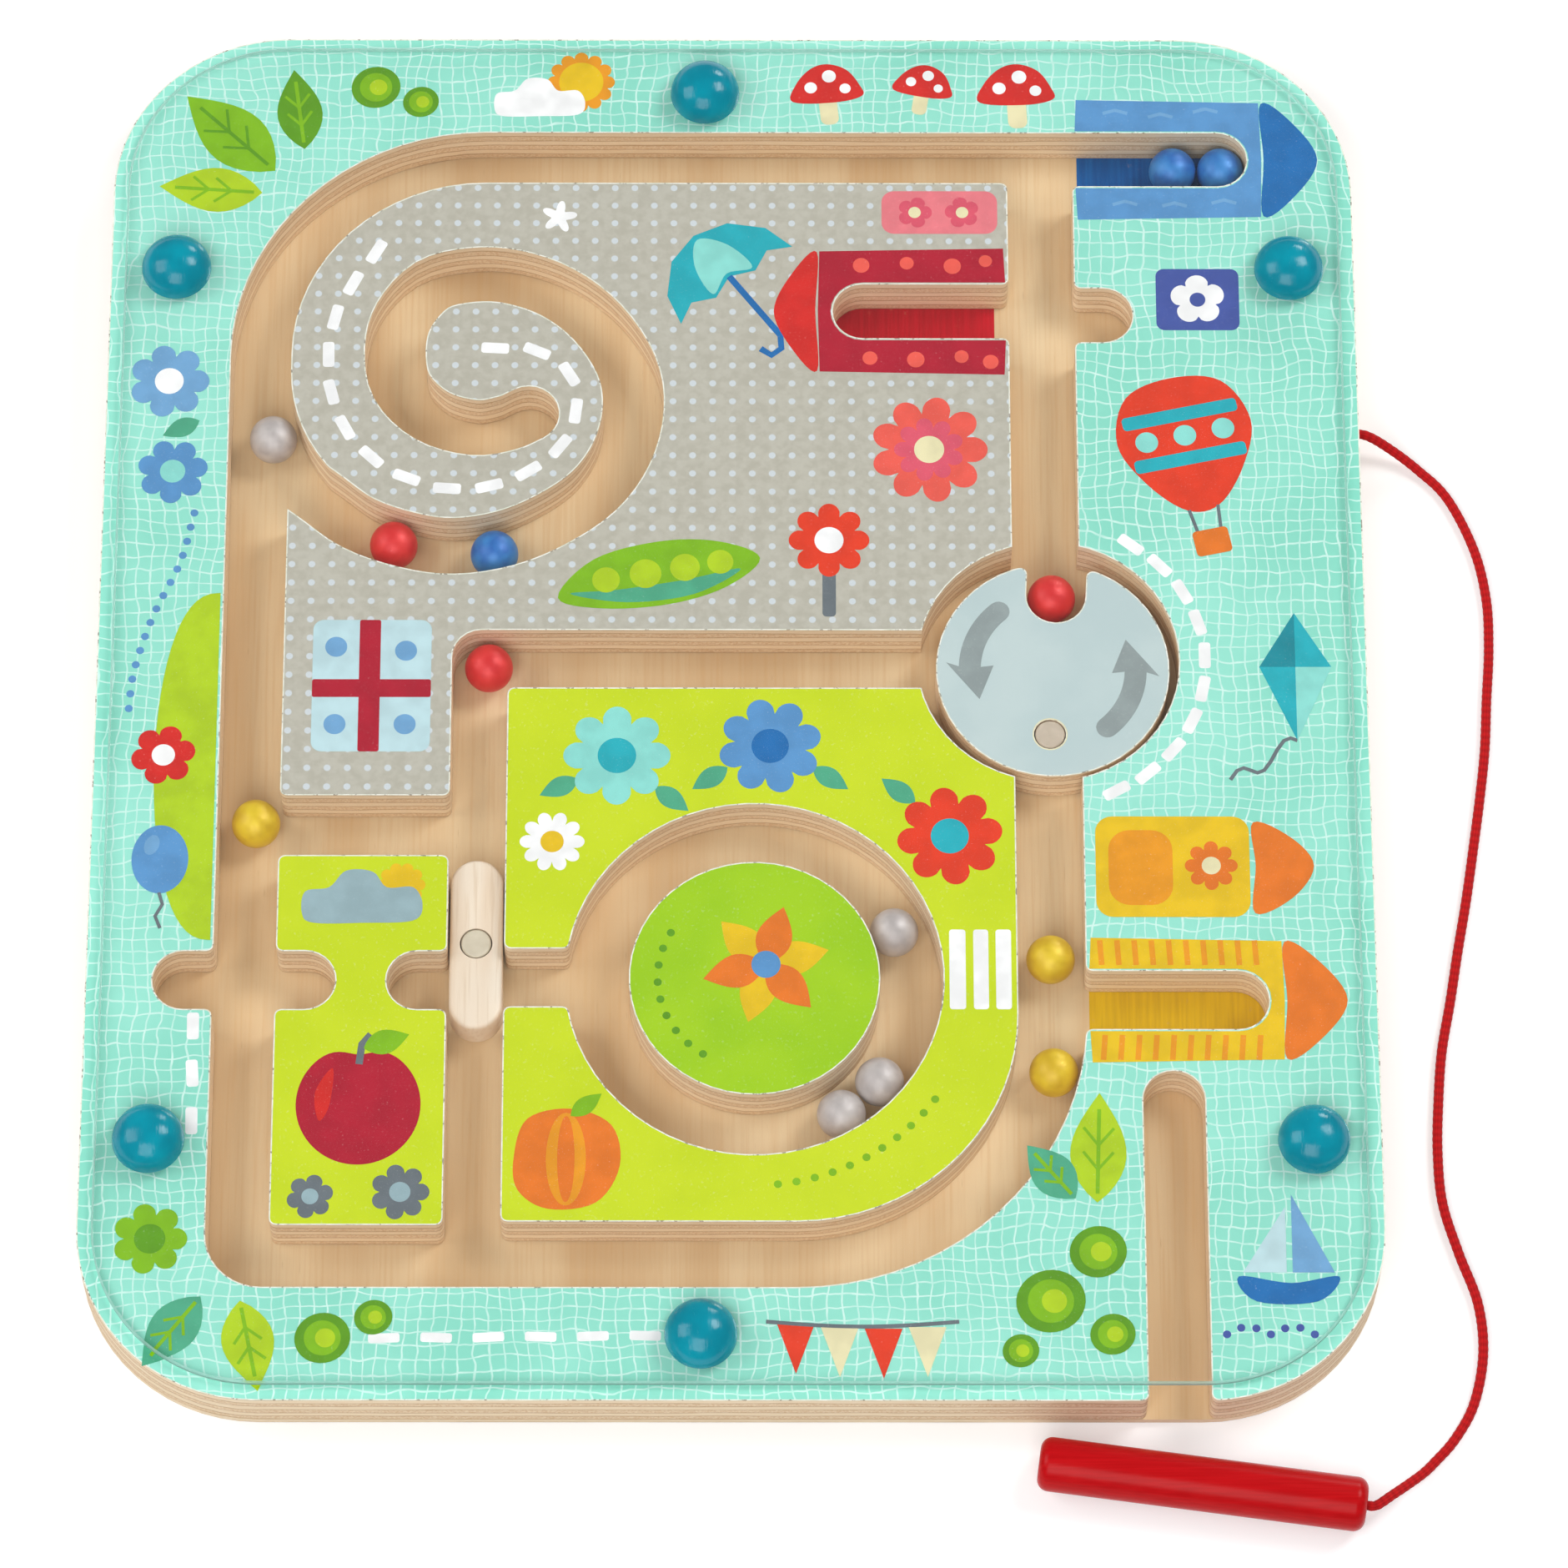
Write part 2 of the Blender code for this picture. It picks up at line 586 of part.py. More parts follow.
def spiral_lane_outline():
    """The spiral lane as a band of even width about its centre line, with a round inner end."""
    start = Vector((SPIRAL_X, SPIRAL_Y))
    route = [start + Vector(share) * SPIRAL_SPAN for share in SPIRAL_SHARES]
    path = smooth_path(route, SPIRAL_STEPS)
    half = SPIRAL_LANE / 2
    left = []
    right = []
    for i, point in enumerate(path):
        along = (path[min(i + 1, len(path) - 1)] - path[max(i - 1, 0)]).normalized()
        across = Vector((-along.y, along.x)) * half
        left.append(tuple(point + across))
        right.append(tuple(point - across))
    side = path[-1] - path[-2]
    heading = math.atan2(side.y, side.x)
    quarter = math.pi / 2
    cap = arc(path[-1].x, path[-1].y, half, heading + quarter, heading - quarter)
    return left[:-1] + [point[:2] for point in cap] + right[::-1]


def stud_places():
    """Where the six studs sit: two by each long side and one at each end."""
    x = SIDE - SIDE_STUD_INSET
    back = END - BACK_ROW_INSET
    front = FRONT_ROW_INSET - END
    return [
        (-x, back), (END_STUD_SHIFT, END - BACK_STUD_INSET), (x, back),
        (-x, front), (END_STUD_SHIFT, FRONT_STUD_INSET - END), (x, front),
    ]


def peg_hole_cutter():
    """Holes for all six pegs, through the cover and into the frame."""
    low = STUD_SEAT - PEG_DEPTH - PLAY
    high = STUD_SEAT + OVERRUN
    mesh = rod_mesh("peg_holes", PEG_RADIUS + PLAY, high - low, stud_places())
    return make_cutter("peg_holes", mesh, location=(0, 0, (low + high) / 2))


def side_hole_cutter():
    """The hole in the frame's right side that the cord comes out of."""
    length = CORD_HOLE_DEPTH + OVERRUN
    place = CORD_EXIT + Vector((OVERRUN - CORD_HOLE_DEPTH, 0, 0)) / 2
    mesh = rod_mesh("cord_hole", CORD_HOLE_RADIUS, length)
    return make_cutter("cord_hole", mesh, location=place, rotation=(0, math.pi / 2, 0))


def make_base():
    """The floor of the maze, with a seat for the turntable's pin."""
    base = plate("base_plate", [board_outline(0)], 0, BASE_THICKNESS, "base_ply")
    low = BASE_THICKNESS - PIN_SEAT_DEPTH
    high = BASE_THICKNESS + OVERRUN
    mesh = rod_mesh("pin_seat", PIN_RADIUS + PLAY, high - low)
    cut(base, make_cutter("pin_seat", mesh, location=(TURNTABLE_X, TURNTABLE_Y, (low + high) / 2)))


def make_frame(pocket, pegs):
    """The plate with the maze opening, the garages and the wand's slot."""
    outlines = [frame_outline(), maze_opening()]
    frame = plate("maze_frame", outlines, PLATE_BOTTOM, PLATE_TOP, "mint_print")
    cut(frame, pocket, pegs, side_hole_cutter())


def make_islands(pocket):
    """The four loose-cut plates between the lanes."""
    layer = (PLATE_BOTTOM, PLATE_TOP)
    spiral = plate("spiral_island", [spiral_island_outline()], *layer, "grey_print")
    low = PLATE_BOTTOM - OVERRUN
    high = PLATE_TOP + OVERRUN
    cut(spiral, pocket, prism_cutter("spiral_lane", spiral_lane_outline(), low, high))
    ring = plate("ring_island", [ring_island_outline()], *layer, "green_print")
    cut(ring, pocket)
    plate("notch_island", [notch_island_outline()], *layer, "green_print")
    plate("hub_island", [circle(HUB_RADIUS)], *layer, "green_print", centre=(RING_X, RING_Y))


def make_cover(pegs):
    """The clear sheet, drawn in from the board's edge."""
    high = COVER_BOTTOM + COVER_THICKNESS
    cover = plate("cover_sheet", [board_outline(COVER_INSET)], COVER_BOTTOM, high, "clear_acrylic")
    cut(cover, pegs)


def make_studs():
    """Six low domes, each on a peg that goes through the cover into the frame."""
    steps = arc_steps(STUD_RADIUS, math.pi / 2)
    angles = [math.pi / 2 * i / steps for i in range(steps + 1)]
    profile = [(STUD_RADIUS * math.sin(a), STUD_HEIGHT * math.cos(a)) for a in angles]
    profile += [(PEG_RADIUS, 0), (PEG_RADIUS, -PEG_DEPTH), (0, -PEG_DEPTH)]
    for number, (x, y) in enumerate(stud_places(), 1):
        turned_piece(f"stud_{number}", profile, "turquoise_plastic", location=(x, y, STUD_SEAT))


def make_plug(name, top, y, parent):
    """A steel plug let into its parent, level with the top, and the recess that it sits in."""
    height = PLUG_DEPTH - PLAY
    mesh = rod_mesh(name, PLUG_RADIUS, height)
    make_piece(name, mesh, "bright_steel", location=(0, y, top - height / 2), parent=parent)
    hole = rod_mesh(name + "_recess", PLUG_RADIUS + PLAY, PLUG_DEPTH + OVERRUN)
    z = top + (OVERRUN - PLUG_DEPTH) / 2
    return make_cutter(name + "_recess", hole, location=(0, y, z), parent=parent)


def make_turntable():
    """The turning disc on its pin, with one notch and one steel plug."""
    half = TURNTABLE_THICKNESS / 2
    disc = plate(
        "turntable", [turntable_outline()], PLAY_FLOOR, TURNTABLE_TOP, "turntable_paint",
        centre=(TURNTABLE_X, TURNTABLE_Y), rotation=(0, 0, TURNTABLE_TURN))
    recess = make_plug("turntable_plug", half, -TURNTABLE_PLUG_FROM_AXIS, disc)
    depth = PIN_HOLE_DEPTH + OVERRUN
    hole = rod_mesh("pin_hole", PIN_RADIUS + PLAY, depth)
    place = (0, 0, depth / 2 - half - OVERRUN)
    cut(disc, recess, make_cutter("pin_hole", hole, location=place, parent=disc))
    low = BASE_THICKNESS - PIN_SEAT_DEPTH + PLAY
    high = PLAY_FLOOR + PIN_HOLE_DEPTH - PLAY
    pin = rod_mesh("turntable_pin", PIN_RADIUS, high - low)
    make_piece("turntable_pin", pin, "bright_steel", location=(TURNTABLE_X, TURNTABLE_Y, (low + high) / 2))
    return disc


def make_slider():
    """The loose bar in the lock lane, with its steel plug."""
    bar = plate(
        "lock_slider", [slider_outline()], PLAY_FLOOR, SLIDER_TOP, "birch", centre=(SLIDER_X, SLIDER_Y))
    cut(bar, make_plug("slider_plug", SLIDER_THICKNESS / 2, 0, bar))


def make_ball(name, colour, x, y, z, parent=None):
    """One steel ball."""
    shape = bmesh.new()
    bmesh.ops.create_uvsphere(
        shape, u_segments=BALL_SIDES, v_segments=BALL_SIDES // 2, radius=BALL_RADIUS)
    mesh = bpy.data.meshes.new(name)
    shape.to_mesh(mesh)
    shape.free()
    mesh.shade_smooth()
    return make_piece(name, mesh, colour, location=(x, y, z), parent=parent)


def side_play(lane, share):
    """How far a ball lies from the middle of its lane, as a share of its play."""
    return (lane / 2 - BALL_RADIUS) * share


def make_orbit_balls():
    """Balls in curved lanes, each on an empty at the middle of its curve."""
    corner_x = LEFT_WALL + BACK_LEFT_CURVE
    corner_y = BACK_WALL - BACK_LEFT_CURVE
    ring_middle = HUB_RADIUS + RING_LANE / 2
    spiral_x = SPIRAL_X + SPIRAL_TURN_SHIFT_X
    spiral_y = SPIRAL_Y + SPIRAL_TURN_SHIFT_Y
    pivots = {
        "corner": (corner_x, corner_y, BACK_LEFT_CURVE - LEFT_LANE / 2, LEFT_LANE),
        "ring": (RING_X, RING_Y, ring_middle, RING_LANE),
        "spiral": (spiral_x, spiral_y, SPIRAL_TURN_RADIUS, SPIRAL_LANE),
        "bend": (FRONT_RIGHT_X, FRONT_RIGHT_Y, FRONT_RIGHT_CURVE - FRONT_LANE / 2, FRONT_LANE),
    }
    balls = (
        ("silver_ball_1", "silver_ball", "corner", 200.8, 0.3),
        ("silver_ball_2", "silver_ball", "ring", 23.6, -0.6),
        ("silver_ball_3", "silver_ball", "ring", -38.7, 0.35),
        ("silver_ball_4", "silver_ball", "ring", -57.3, 0.4),
        ("red_ball_1", "red_ball", "spiral", -109.0, -0.4),
        ("blue_ball_1", "blue_ball", "spiral", -76.3, 0.4),
        ("yellow_ball_3", "yellow_ball", "bend", -11.3, 0.7),
    )
    empties = {name: make_pivot(name + "_pivot", *pivots[name][:2]) for name in pivots}
    for name, colour, lane_name, bearing, share in balls:
        middle, lane = pivots[lane_name][2:]
        radius = middle + side_play(lane, share)
        angle = math.radians(bearing)
        x = radius * math.cos(angle)
        y = radius * math.sin(angle)
        make_ball(name, colour, x, y, BALL_HEIGHT, empties[lane_name])


def make_straight_balls():
    """Balls in straight lanes and garages."""
    middle_y = RING_ISLAND_BACK + MIDDLE_LANE / 2 + side_play(MIDDLE_LANE, 0.37)
    make_ball("red_ball_2", "red_ball", LEG_RIGHT + MIDDLE_BALL_FROM_LEG, middle_y, BALL_HEIGHT)
    left_x = LEFT_WALL + LEFT_LANE / 2 + side_play(LEFT_LANE, 0.9)
    make_ball("yellow_ball_1", "yellow_ball", left_x, LEG_FRONT - LEFT_BALL_FROM_LEG, BALL_HEIGHT)
    right_x = RIGHT_WALL - RIGHT_LANE / 2
    right_y = YELLOW_GARAGE_Y + YELLOW_BALL_FROM_GARAGE
    make_ball("yellow_ball_2", "yellow_ball", right_x, right_y, BALL_HEIGHT)
    inner_x = GARAGE_END - BALL_RADIUS - PLAY
    outer_x = inner_x - BALL_RADIUS * 2 - PLAY
    garage_y = BLUE_GARAGE_Y + side_play(SLOT_WIDTH, 0.3)
    make_ball("blue_ball_2", "blue_ball", outer_x, garage_y, BALL_HEIGHT)
    make_ball("blue_ball_3", "blue_ball", inner_x, garage_y, BALL_HEIGHT)


def make_notch_ball(disc):
    """The ball that rides in the turntable's notch."""
    x = side_play(TURNTABLE_NOTCH_WIDTH, -0.7)
    z = BALL_HEIGHT - (PLAY_FLOOR + TURNTABLE_TOP) / 2
    make_ball("red_ball_3", "red_ball", x, NOTCH_BALL_FROM_AXIS, z, disc)


def cord_path():
    """Even points on a smooth curve through the cord's route, straight inside its two holes."""
    route = [CORD_EXIT + Vector(point) for point in CORD_ROUTE]
    fine = smooth_path(route[1:-1], CORD_STEPS)
    lowest = CORD_RADIUS + CORD_LIFT
    path = [route[0], route[1]]
    walked = 0
    for before, after in zip(fine, fine[1:]):
        walked += (after - before).length
        if walked >= CORD_SPACING:
            path.append(Vector((after.x, after.y, max(after.z, lowest))))
            walked = 0
    return path[:-1] + [route[-2], route[-1]]


def make_cord():
    """The braided cord, a tube along its path."""
    path = cord_path()
    curve = bpy.data.curves.new("cord", "CURVE")
    curve.dimensions = "3D"
    curve.bevel_depth = CORD_RADIUS
    curve.bevel_resolution = 2
    curve.use_fill_caps = True
    spline = curve.splines.new("POLY")
    spline.points.add(len(path) - 1)
    for point, place in zip(spline.points, path):
        point.co = (*place, 1)
    make_piece("cord", curve_mesh("cord", curve), "red_braid")


def wand_profile():
    """Half of the wand's outline, from its cord end down to its magnet end."""
    steps = arc_steps(WAND_ROUND, math.pi / 2)
    inner = WAND_RADIUS - WAND_ROUND
    straight = WAND_LENGTH / 2 - WAND_ROUND
    angles = [math.pi / 2 * i / steps for i in range(steps + 1)]
    rim = [(inner + WAND_ROUND * math.sin(a), straight + WAND_ROUND * math.cos(a)) for a in angles]
    upper = [(0, WAND_LENGTH / 2)] + rim
    return upper + [(x, -z) for x, z in reversed(upper)]


def make_wand():
    """The turned wand with its cord hole, and the magnet behind a glued tip at the other end."""
    end = CORD_EXIT + Vector(CORD_ROUTE[-1])
    along = Vector((math.cos(WAND_TURN), math.sin(WAND_TURN), 0))
    middle = end + along * (CORD_GRIP - WAND_LENGTH / 2)
    middle.z = WAND_RADIUS
    placing = {"location": middle, "rotation": (0, math.pi / 2, WAND_TURN)}
    wand = turned_piece("wand", wand_profile(), "red_lacquer", **placing)
    tip_end = -WAND_LENGTH / 2
    bore = TIP_LENGTH + MAGNET_LENGTH + PLAY * 2
    magnet_hole = rod_mesh("magnet_bore", MAGNET_RADIUS + PLAY, bore + OVERRUN)
    magnet_z = tip_end + (bore - OVERRUN) / 2
    cord_hole = rod_mesh("wand_cord_hole", WAND_HOLE_RADIUS, WAND_HOLE_DEPTH + OVERRUN)
    cord_z = WAND_LENGTH / 2 + (OVERRUN - WAND_HOLE_DEPTH) / 2
    cut(wand,
        make_cutter("magnet_bore", magnet_hole, location=(0, 0, magnet_z), parent=wand),
        make_cutter("wand_cord_hole", cord_hole, location=(0, 0, cord_z), parent=wand))
    tip = rod_mesh("wand_tip", MAGNET_RADIUS, TIP_LENGTH)
    make_piece("wand_tip", tip, "red_lacquer", location=(0, 0, tip_end + TIP_LENGTH / 2), parent=wand)
    magnet = rod_mesh("wand_magnet", MAGNET_RADIUS, MAGNET_LENGTH)
    magnet_z = tip_end + TIP_LENGTH + PLAY + MAGNET_LENGTH / 2
    make_piece("wand_magnet", magnet, "bright_steel", location=(0, 0, magnet_z), parent=wand)


def main():
    """Build the whole board."""
    clear_scene()
    make_collection(PARTS)
    make_collection(CUTTERS)
    low = PLATE_BOTTOM - OVERRUN
    high = PLATE_TOP + OVERRUN
    pocket_outline = [(POCKET_X + x, POCKET_Y + y) for x, y in circle(POCKET_RADIUS)]
    pocket = prism_cutter("turntable_pocket", pocket_outline, low, high)
    pegs = peg_hole_cutter()
    make_base()
    make_frame(pocket, pegs)
    make_islands(pocket)
    make_cover(pegs)
    make_studs()
    disc = make_turntable()
    make_slider()
    make_orbit_balls()
    make_straight_balls()
    make_notch_ball(disc)
    make_cord()
    make_wand()


main()
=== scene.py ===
# %% [markdown]
# # A magnetic maze board
# A child drags steel balls through lanes cut in plywood, under a clear sheet, with a magnet in a red wand.
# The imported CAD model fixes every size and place. This lesson gives each piece its real surface.

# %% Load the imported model
from math import copysign, cos, exp, pi, radians, sin, tau

import bmesh
import bpy
import numpy as np
from mathutils import Matrix, Vector, geometry


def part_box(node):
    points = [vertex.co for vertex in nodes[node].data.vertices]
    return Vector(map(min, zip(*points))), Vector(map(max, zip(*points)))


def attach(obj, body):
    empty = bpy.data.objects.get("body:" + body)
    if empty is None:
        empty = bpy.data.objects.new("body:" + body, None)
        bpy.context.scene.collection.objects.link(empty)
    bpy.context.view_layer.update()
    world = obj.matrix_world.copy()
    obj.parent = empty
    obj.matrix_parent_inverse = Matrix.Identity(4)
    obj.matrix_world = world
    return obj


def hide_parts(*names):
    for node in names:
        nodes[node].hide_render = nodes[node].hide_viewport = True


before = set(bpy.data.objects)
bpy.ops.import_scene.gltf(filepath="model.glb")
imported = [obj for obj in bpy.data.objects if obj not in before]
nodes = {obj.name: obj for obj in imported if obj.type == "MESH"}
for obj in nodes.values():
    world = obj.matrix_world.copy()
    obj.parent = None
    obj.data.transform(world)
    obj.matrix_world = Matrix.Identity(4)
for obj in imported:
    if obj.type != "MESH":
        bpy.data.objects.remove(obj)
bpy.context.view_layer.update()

MM = 0.001

# %% [markdown]
# ## Camera
# The photograph looks down on the board from the front with a long lens. A long lens from far away keeps
# the board's edges nearly parallel, so the camera stands almost two metres off.

# %% Camera
CAMERA_PLACE = Vector((0.003612, -0.776927, 1.736523))
CAMERA_YAW, CAMERA_TILT, CAMERA_ROLL = -0.6556, 23.6536, 0.6491
CAMERA_LENS = 183.90

camera = bpy.data.objects.new("camera", bpy.data.cameras.new("camera"))
camera.data.lens = CAMERA_LENS
camera.data.sensor_width = 36
turns = [Matrix.Rotation(radians(angle), 4, axis) for angle, axis in
         ((CAMERA_YAW, "Z"), (CAMERA_TILT, "X"), (CAMERA_ROLL, "Z"))]
camera.matrix_world = Matrix.Translation(CAMERA_PLACE) @ turns[0] @ turns[1] @ turns[2]
bpy.context.scene.collection.objects.link(camera)
bpy.context.scene.camera = camera
bpy.context.scene.view_settings.view_transform = "Standard"
print("camera distance in metres:", round(CAMERA_PLACE.length, 3))

# %% [markdown]
# ## Helpers for meshes
# Many pieces here are lofts: rings of points joined by quads and closed by a cap at each end. One function
# makes them all, and another makes finished objects of them that move with a CAD body. Places and heights
# are read from the CAD model's boxes.

# %% Make a piece from a mesh
def middle(node):
    """The middle of a CAD node's box."""
    low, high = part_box(node)
    return (low + high) / 2


def top_of(node):
    """The height of a CAD node's top."""
    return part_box(node)[1].z


def make_piece(name, mesh, body, slot, materials=(), stands_for=()):
    """A finished piece that rides on a CAD body and stands for CAD nodes."""
    piece = bpy.data.objects.new(name, mesh)
    bpy.context.scene.collection.objects.link(piece)
    for material in materials:
        mesh.materials.append(material)
    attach(piece, body)
    if stands_for:
        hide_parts(*stands_for)
    print(name, len(mesh.polygons), "faces")
    return piece


def smooth(mesh, angle=35):
    """Smooth shading, with edges over the angle kept sharp."""
    mesh.shade_smooth()
    mesh.set_sharp_from_angle(angle=radians(angle))
    return mesh


def closed_mesh(name, shape):
    """A mesh of a bmesh, its faces pointing outwards."""
    bmesh.ops.recalc_face_normals(shape, faces=shape.faces)
    mesh = bpy.data.meshes.new(name)
    shape.to_mesh(mesh)
    shape.free()
    return mesh


def loft(name, rings, angle=35):
    """A closed skin over rings of equally many points, each end closed by a cap."""
    shape = bmesh.new()
    rows = [[shape.verts.new(point) for point in ring] for ring in rings]
    count = len(rows[0])
    for lower, upper in zip(rows, rows[1:]):
        for i in range(count):
            j = (i + 1) % count
            shape.faces.new((lower[i], lower[j], upper[j], upper[i]))
    shape.faces.new(rows[0][::-1])
    shape.faces.new(rows[-1])
    return smooth(closed_mesh(name, shape), angle)


def round_ring(centre, radius, z, count=64):
    """A level ring of points."""
    turns = [tau * i / count for i in range(count)]
    return [(centre[0] + radius * cos(a), centre[1] + radius * sin(a), z) for a in turns]


def quarter(steps):
    """Angles from level to upright."""
    return [pi / 2 * i / steps for i in range(steps + 1)]

# %% [markdown]
# ## Helpers for materials
# Colours are sRGB hex, as a picture editor shows them, and one function turns them to the linear values of
# a shader. One small function adds a node with its links and settings. Most finishes are a ground colour
# under a few thin coats, and each coat lies where its own pattern is high. Patterns are scaled per
# millimetre. Wood pores, yarn fibres and paint flakes are finer than a pixel, so they are drawn a few tenths
# of a millimetre wide, which is as coarse as they need to be to show.

# %% Colours and nodes
WIDE_COAT = (0.3, 0.7, 1.0)


def linear(code):
    """Linear colour with alpha from a hex code."""
    parts = [int(code[i:i + 2], 16) / 255 for i in (1, 3, 5)]
    return tuple(p / 12.92 if p <= 0.04045 else ((p + 0.055) / 1.055) ** 2.4 for p in parts) + (1.0,)


def put(tree, kind, inputs=None, **settings):
    """Add a node, set its properties, and set or link its inputs. A colour may be a hex code."""
    made = tree.nodes.new(kind)
    for name, value in settings.items():
        setattr(made, name, value)
    for name, value in (inputs or {}).items():
        if isinstance(value, bpy.types.NodeSocket):
            tree.links.new(value, made.inputs[name])
        else:
            made.inputs[name].default_value = linear(value) if isinstance(value, str) else value
    return made


def start_material(name, roughness, **shown):
    """A new material: its tree, its Principled shader and its place in millimetres."""
    material = bpy.data.materials.new(name)
    material.use_nodes = True
    tree = material.node_tree
    shader = tree.nodes["Principled BSDF"]
    shader.inputs["Roughness"].default_value = roughness
    for key, value in shown.items():
        shader.inputs[key.replace("_", " ")].default_value = value
    where = put(tree, "ShaderNodeTexCoord").outputs["Object"]
    place = put(tree, "ShaderNodeVectorMath", {0: where, "Scale": 1 / MM}, operation="SCALE")
    return material, tree, shader, place.outputs["Vector"]


def speckle(tree, place, stretch, detail=3.0):
    """Noise from 0 to 1, stretched per millimetre along each axis, or alike along all."""
    stretch = stretch if isinstance(stretch, tuple) else (stretch,) * 3
    scaled = put(tree, "ShaderNodeVectorMath", {0: place, 1: stretch}, operation="MULTIPLY")
    return put(tree, "ShaderNodeTexNoise",
               {"Vector": scaled.outputs["Vector"], "Scale": 1.0, "Detail": detail}).outputs["Fac"]


def coat(tree, under, over, pattern, low, high, start=0.0, end=1.0):
    """A colour over another, its share eased from start to end while the pattern goes from low to high."""
    share = put(tree, "ShaderNodeMapRange", {0: pattern, 1: low, 2: high, 3: start, 4: end},
                interpolation_type="SMOOTHSTEP").outputs[0]
    return put(tree, "ShaderNodeMix", {0: share, 6: under, 7: over}, data_type="RGBA").outputs[2]


def coated(tree, ground, *coats):
    """A ground colour under coats: each a colour, its pattern, and maybe low, high and greatest share."""
    for tint, pattern, *reach in coats:
        low, high, most = reach or WIDE_COAT
        ground = coat(tree, ground, tint, pattern, low, high, 0.0, most)
    return ground


def uneven_gloss(tree, shader, pattern, low, high, polished, dull):
    """Roughness that follows a pattern."""
    value = put(tree, "ShaderNodeMapRange", {0: pattern, 1: low, 2: high, 3: polished, 4: dull},
                interpolation_type="SMOOTHSTEP").outputs[0]
    tree.links.new(value, shader.inputs["Roughness"])


def finish(tree, shader, colour, relief=None, depth=0.0):
    """The shader's colour, and relief of a depth in metres where there is some."""
    tree.links.new(colour, shader.inputs["Base Color"])
    if relief:
        bump = put(tree, "ShaderNodeBump", {"Height": relief, "Strength": 0.5, "Distance": depth})
        tree.links.new(bump.outputs["Normal"], shader.inputs["Normal"])

# %% [markdown]
# ## The cord
# A braided polyester cord, 2.5 mm thick, leaves the board's right side, drops to the table and runs in easy
# curves to the wand. The braid is real relief on a tube: two sets of strands cross and leave small diamonds.
# The route's points are the CAD model's own, in millimetres from the cord's exit.

# %% The cord's centre line
CORD_EXIT = Vector((0.1500, 0.0719, 0.0080))
CORD_RADIUS = 1.25 * MM
ROUTE = (
    (-3, 0, 0), (2, -0.1, -0.2), (8, -1.9, -3.8), (15.2, -6.6, -6.5), (21.9, -14.1, -6.7),
    (27.7, -27.5, -6.7), (30.2, -40.7, -6.7), (30.3, -53.9, -6.7), (29.3, -67.1, -6.7), (28.4, -80.1, -6.7),
    (26.7, -93.1, -6.7), (24.7, -106, -6.7), (22.6, -118.9, -6.7), (20.2, -131.7, -6.7), (18, -144.4, -6.7),
    (15.6, -157, -6.7), (14.4, -169.5, -6.7), (13.8, -182, -6.7), (14.5, -194.5, -6.7), (17.8, -206.8, -6.7),
    (21.8, -219.1, -6.7), (22.6, -231.4, -6.7), (20.1, -243.5, -6.7), (15.5, -252, -6.7),
    (10.6, -257.7, -6.5), (7.7, -260.7, -5.8), (3.9, -263.9, -4.4), (0.2, -266.9, -2.8),
    (-3.4, -269.6, -1.8), (-5.6, -269.65, -1.7), (-8.6, -269.25, -1.7),
)
ROUTE_STEPS = 30
ROW_LENGTH = 0.35 * MM
CORD_LIFT = 0.05 * MM


def smooth_route(points, steps):
    """Points on a smooth curve through the given ones."""
    ends = [points[0] * 2 - points[1]] + list(points) + [points[-1] * 2 - points[-2]]
    path = []
    for before, start, end, after in zip(ends, ends[1:], ends[2:], ends[3:]):
        for i in range(steps):
            t = i / steps
            bend = (before * 2 - start * 5 + end * 4 - after) * t ** 2
            twist = (start * 3 - before - end * 3 + after) * t ** 3
            path.append((start * 2 + (end - before) * t + bend + twist) / 2)
    return path + [points[-1]]


def evenly(path, spacing):
    """The same line with its points evenly spaced."""
    line = np.array([list(point) for point in path])
    walked = np.r_[0, np.cumsum(np.linalg.norm(np.diff(line, axis=0), axis=1))]
    stops = np.linspace(0, walked[-1], int(walked[-1] / spacing) + 1)
    return np.stack([np.interp(stops, walked, line[:, axis]) for axis in range(3)], axis=1)


cord_route = [CORD_EXIT + Vector(point) * MM for point in ROUTE]
cord_line = evenly(smooth_route(cord_route, ROUTE_STEPS), ROW_LENGTH)
cord_line[:, 2] = np.maximum(cord_line[:, 2], CORD_RADIUS + CORD_LIFT)

# %% The braided tube
BRAID_DIAMONDS = 5
BRAID_PITCH = 3.4 * MM
BRAID_DEPTH = 0.16 * MM
CORD_SIDES = 20
SKIN = 0.05 * MM


def braided_tube(line):
    """A tube along the line with a diamond braid in relief, its height kept as an attribute."""
    along = np.gradient(line, axis=0)
    along /= np.linalg.norm(along, axis=1)[:, None]
    side = np.cross(along, (0.0, 0.0, 1.0))
    side /= np.linalg.norm(side, axis=1)[:, None]
    up = np.cross(side, along)
    turn = np.arange(CORD_SIDES) * tau / CORD_SIDES
    walked = np.arange(len(line))[:, None] * ROW_LENGTH / BRAID_PITCH
    round_it = BRAID_DIAMONDS * turn[None, :]
    weave = np.cos(round_it + tau * walked) * np.cos(round_it - tau * walked)
    radius = CORD_RADIUS - SKIN - BRAID_DEPTH * (0.5 - 0.5 * weave)
    ring = side[:, None] * np.cos(turn)[None, :, None] + up[:, None] * np.sin(turn)[None, :, None]
    points = line[:, None] + ring * radius[..., None]
    mesh = loft("cord_braid", [[tuple(p) for p in row] for row in points], 80)
    height = mesh.attributes.new("braid_height", "FLOAT", "POINT")
    height.data.foreach_set("value", (0.5 + 0.5 * weave).astype(np.float32).ravel())
    return mesh
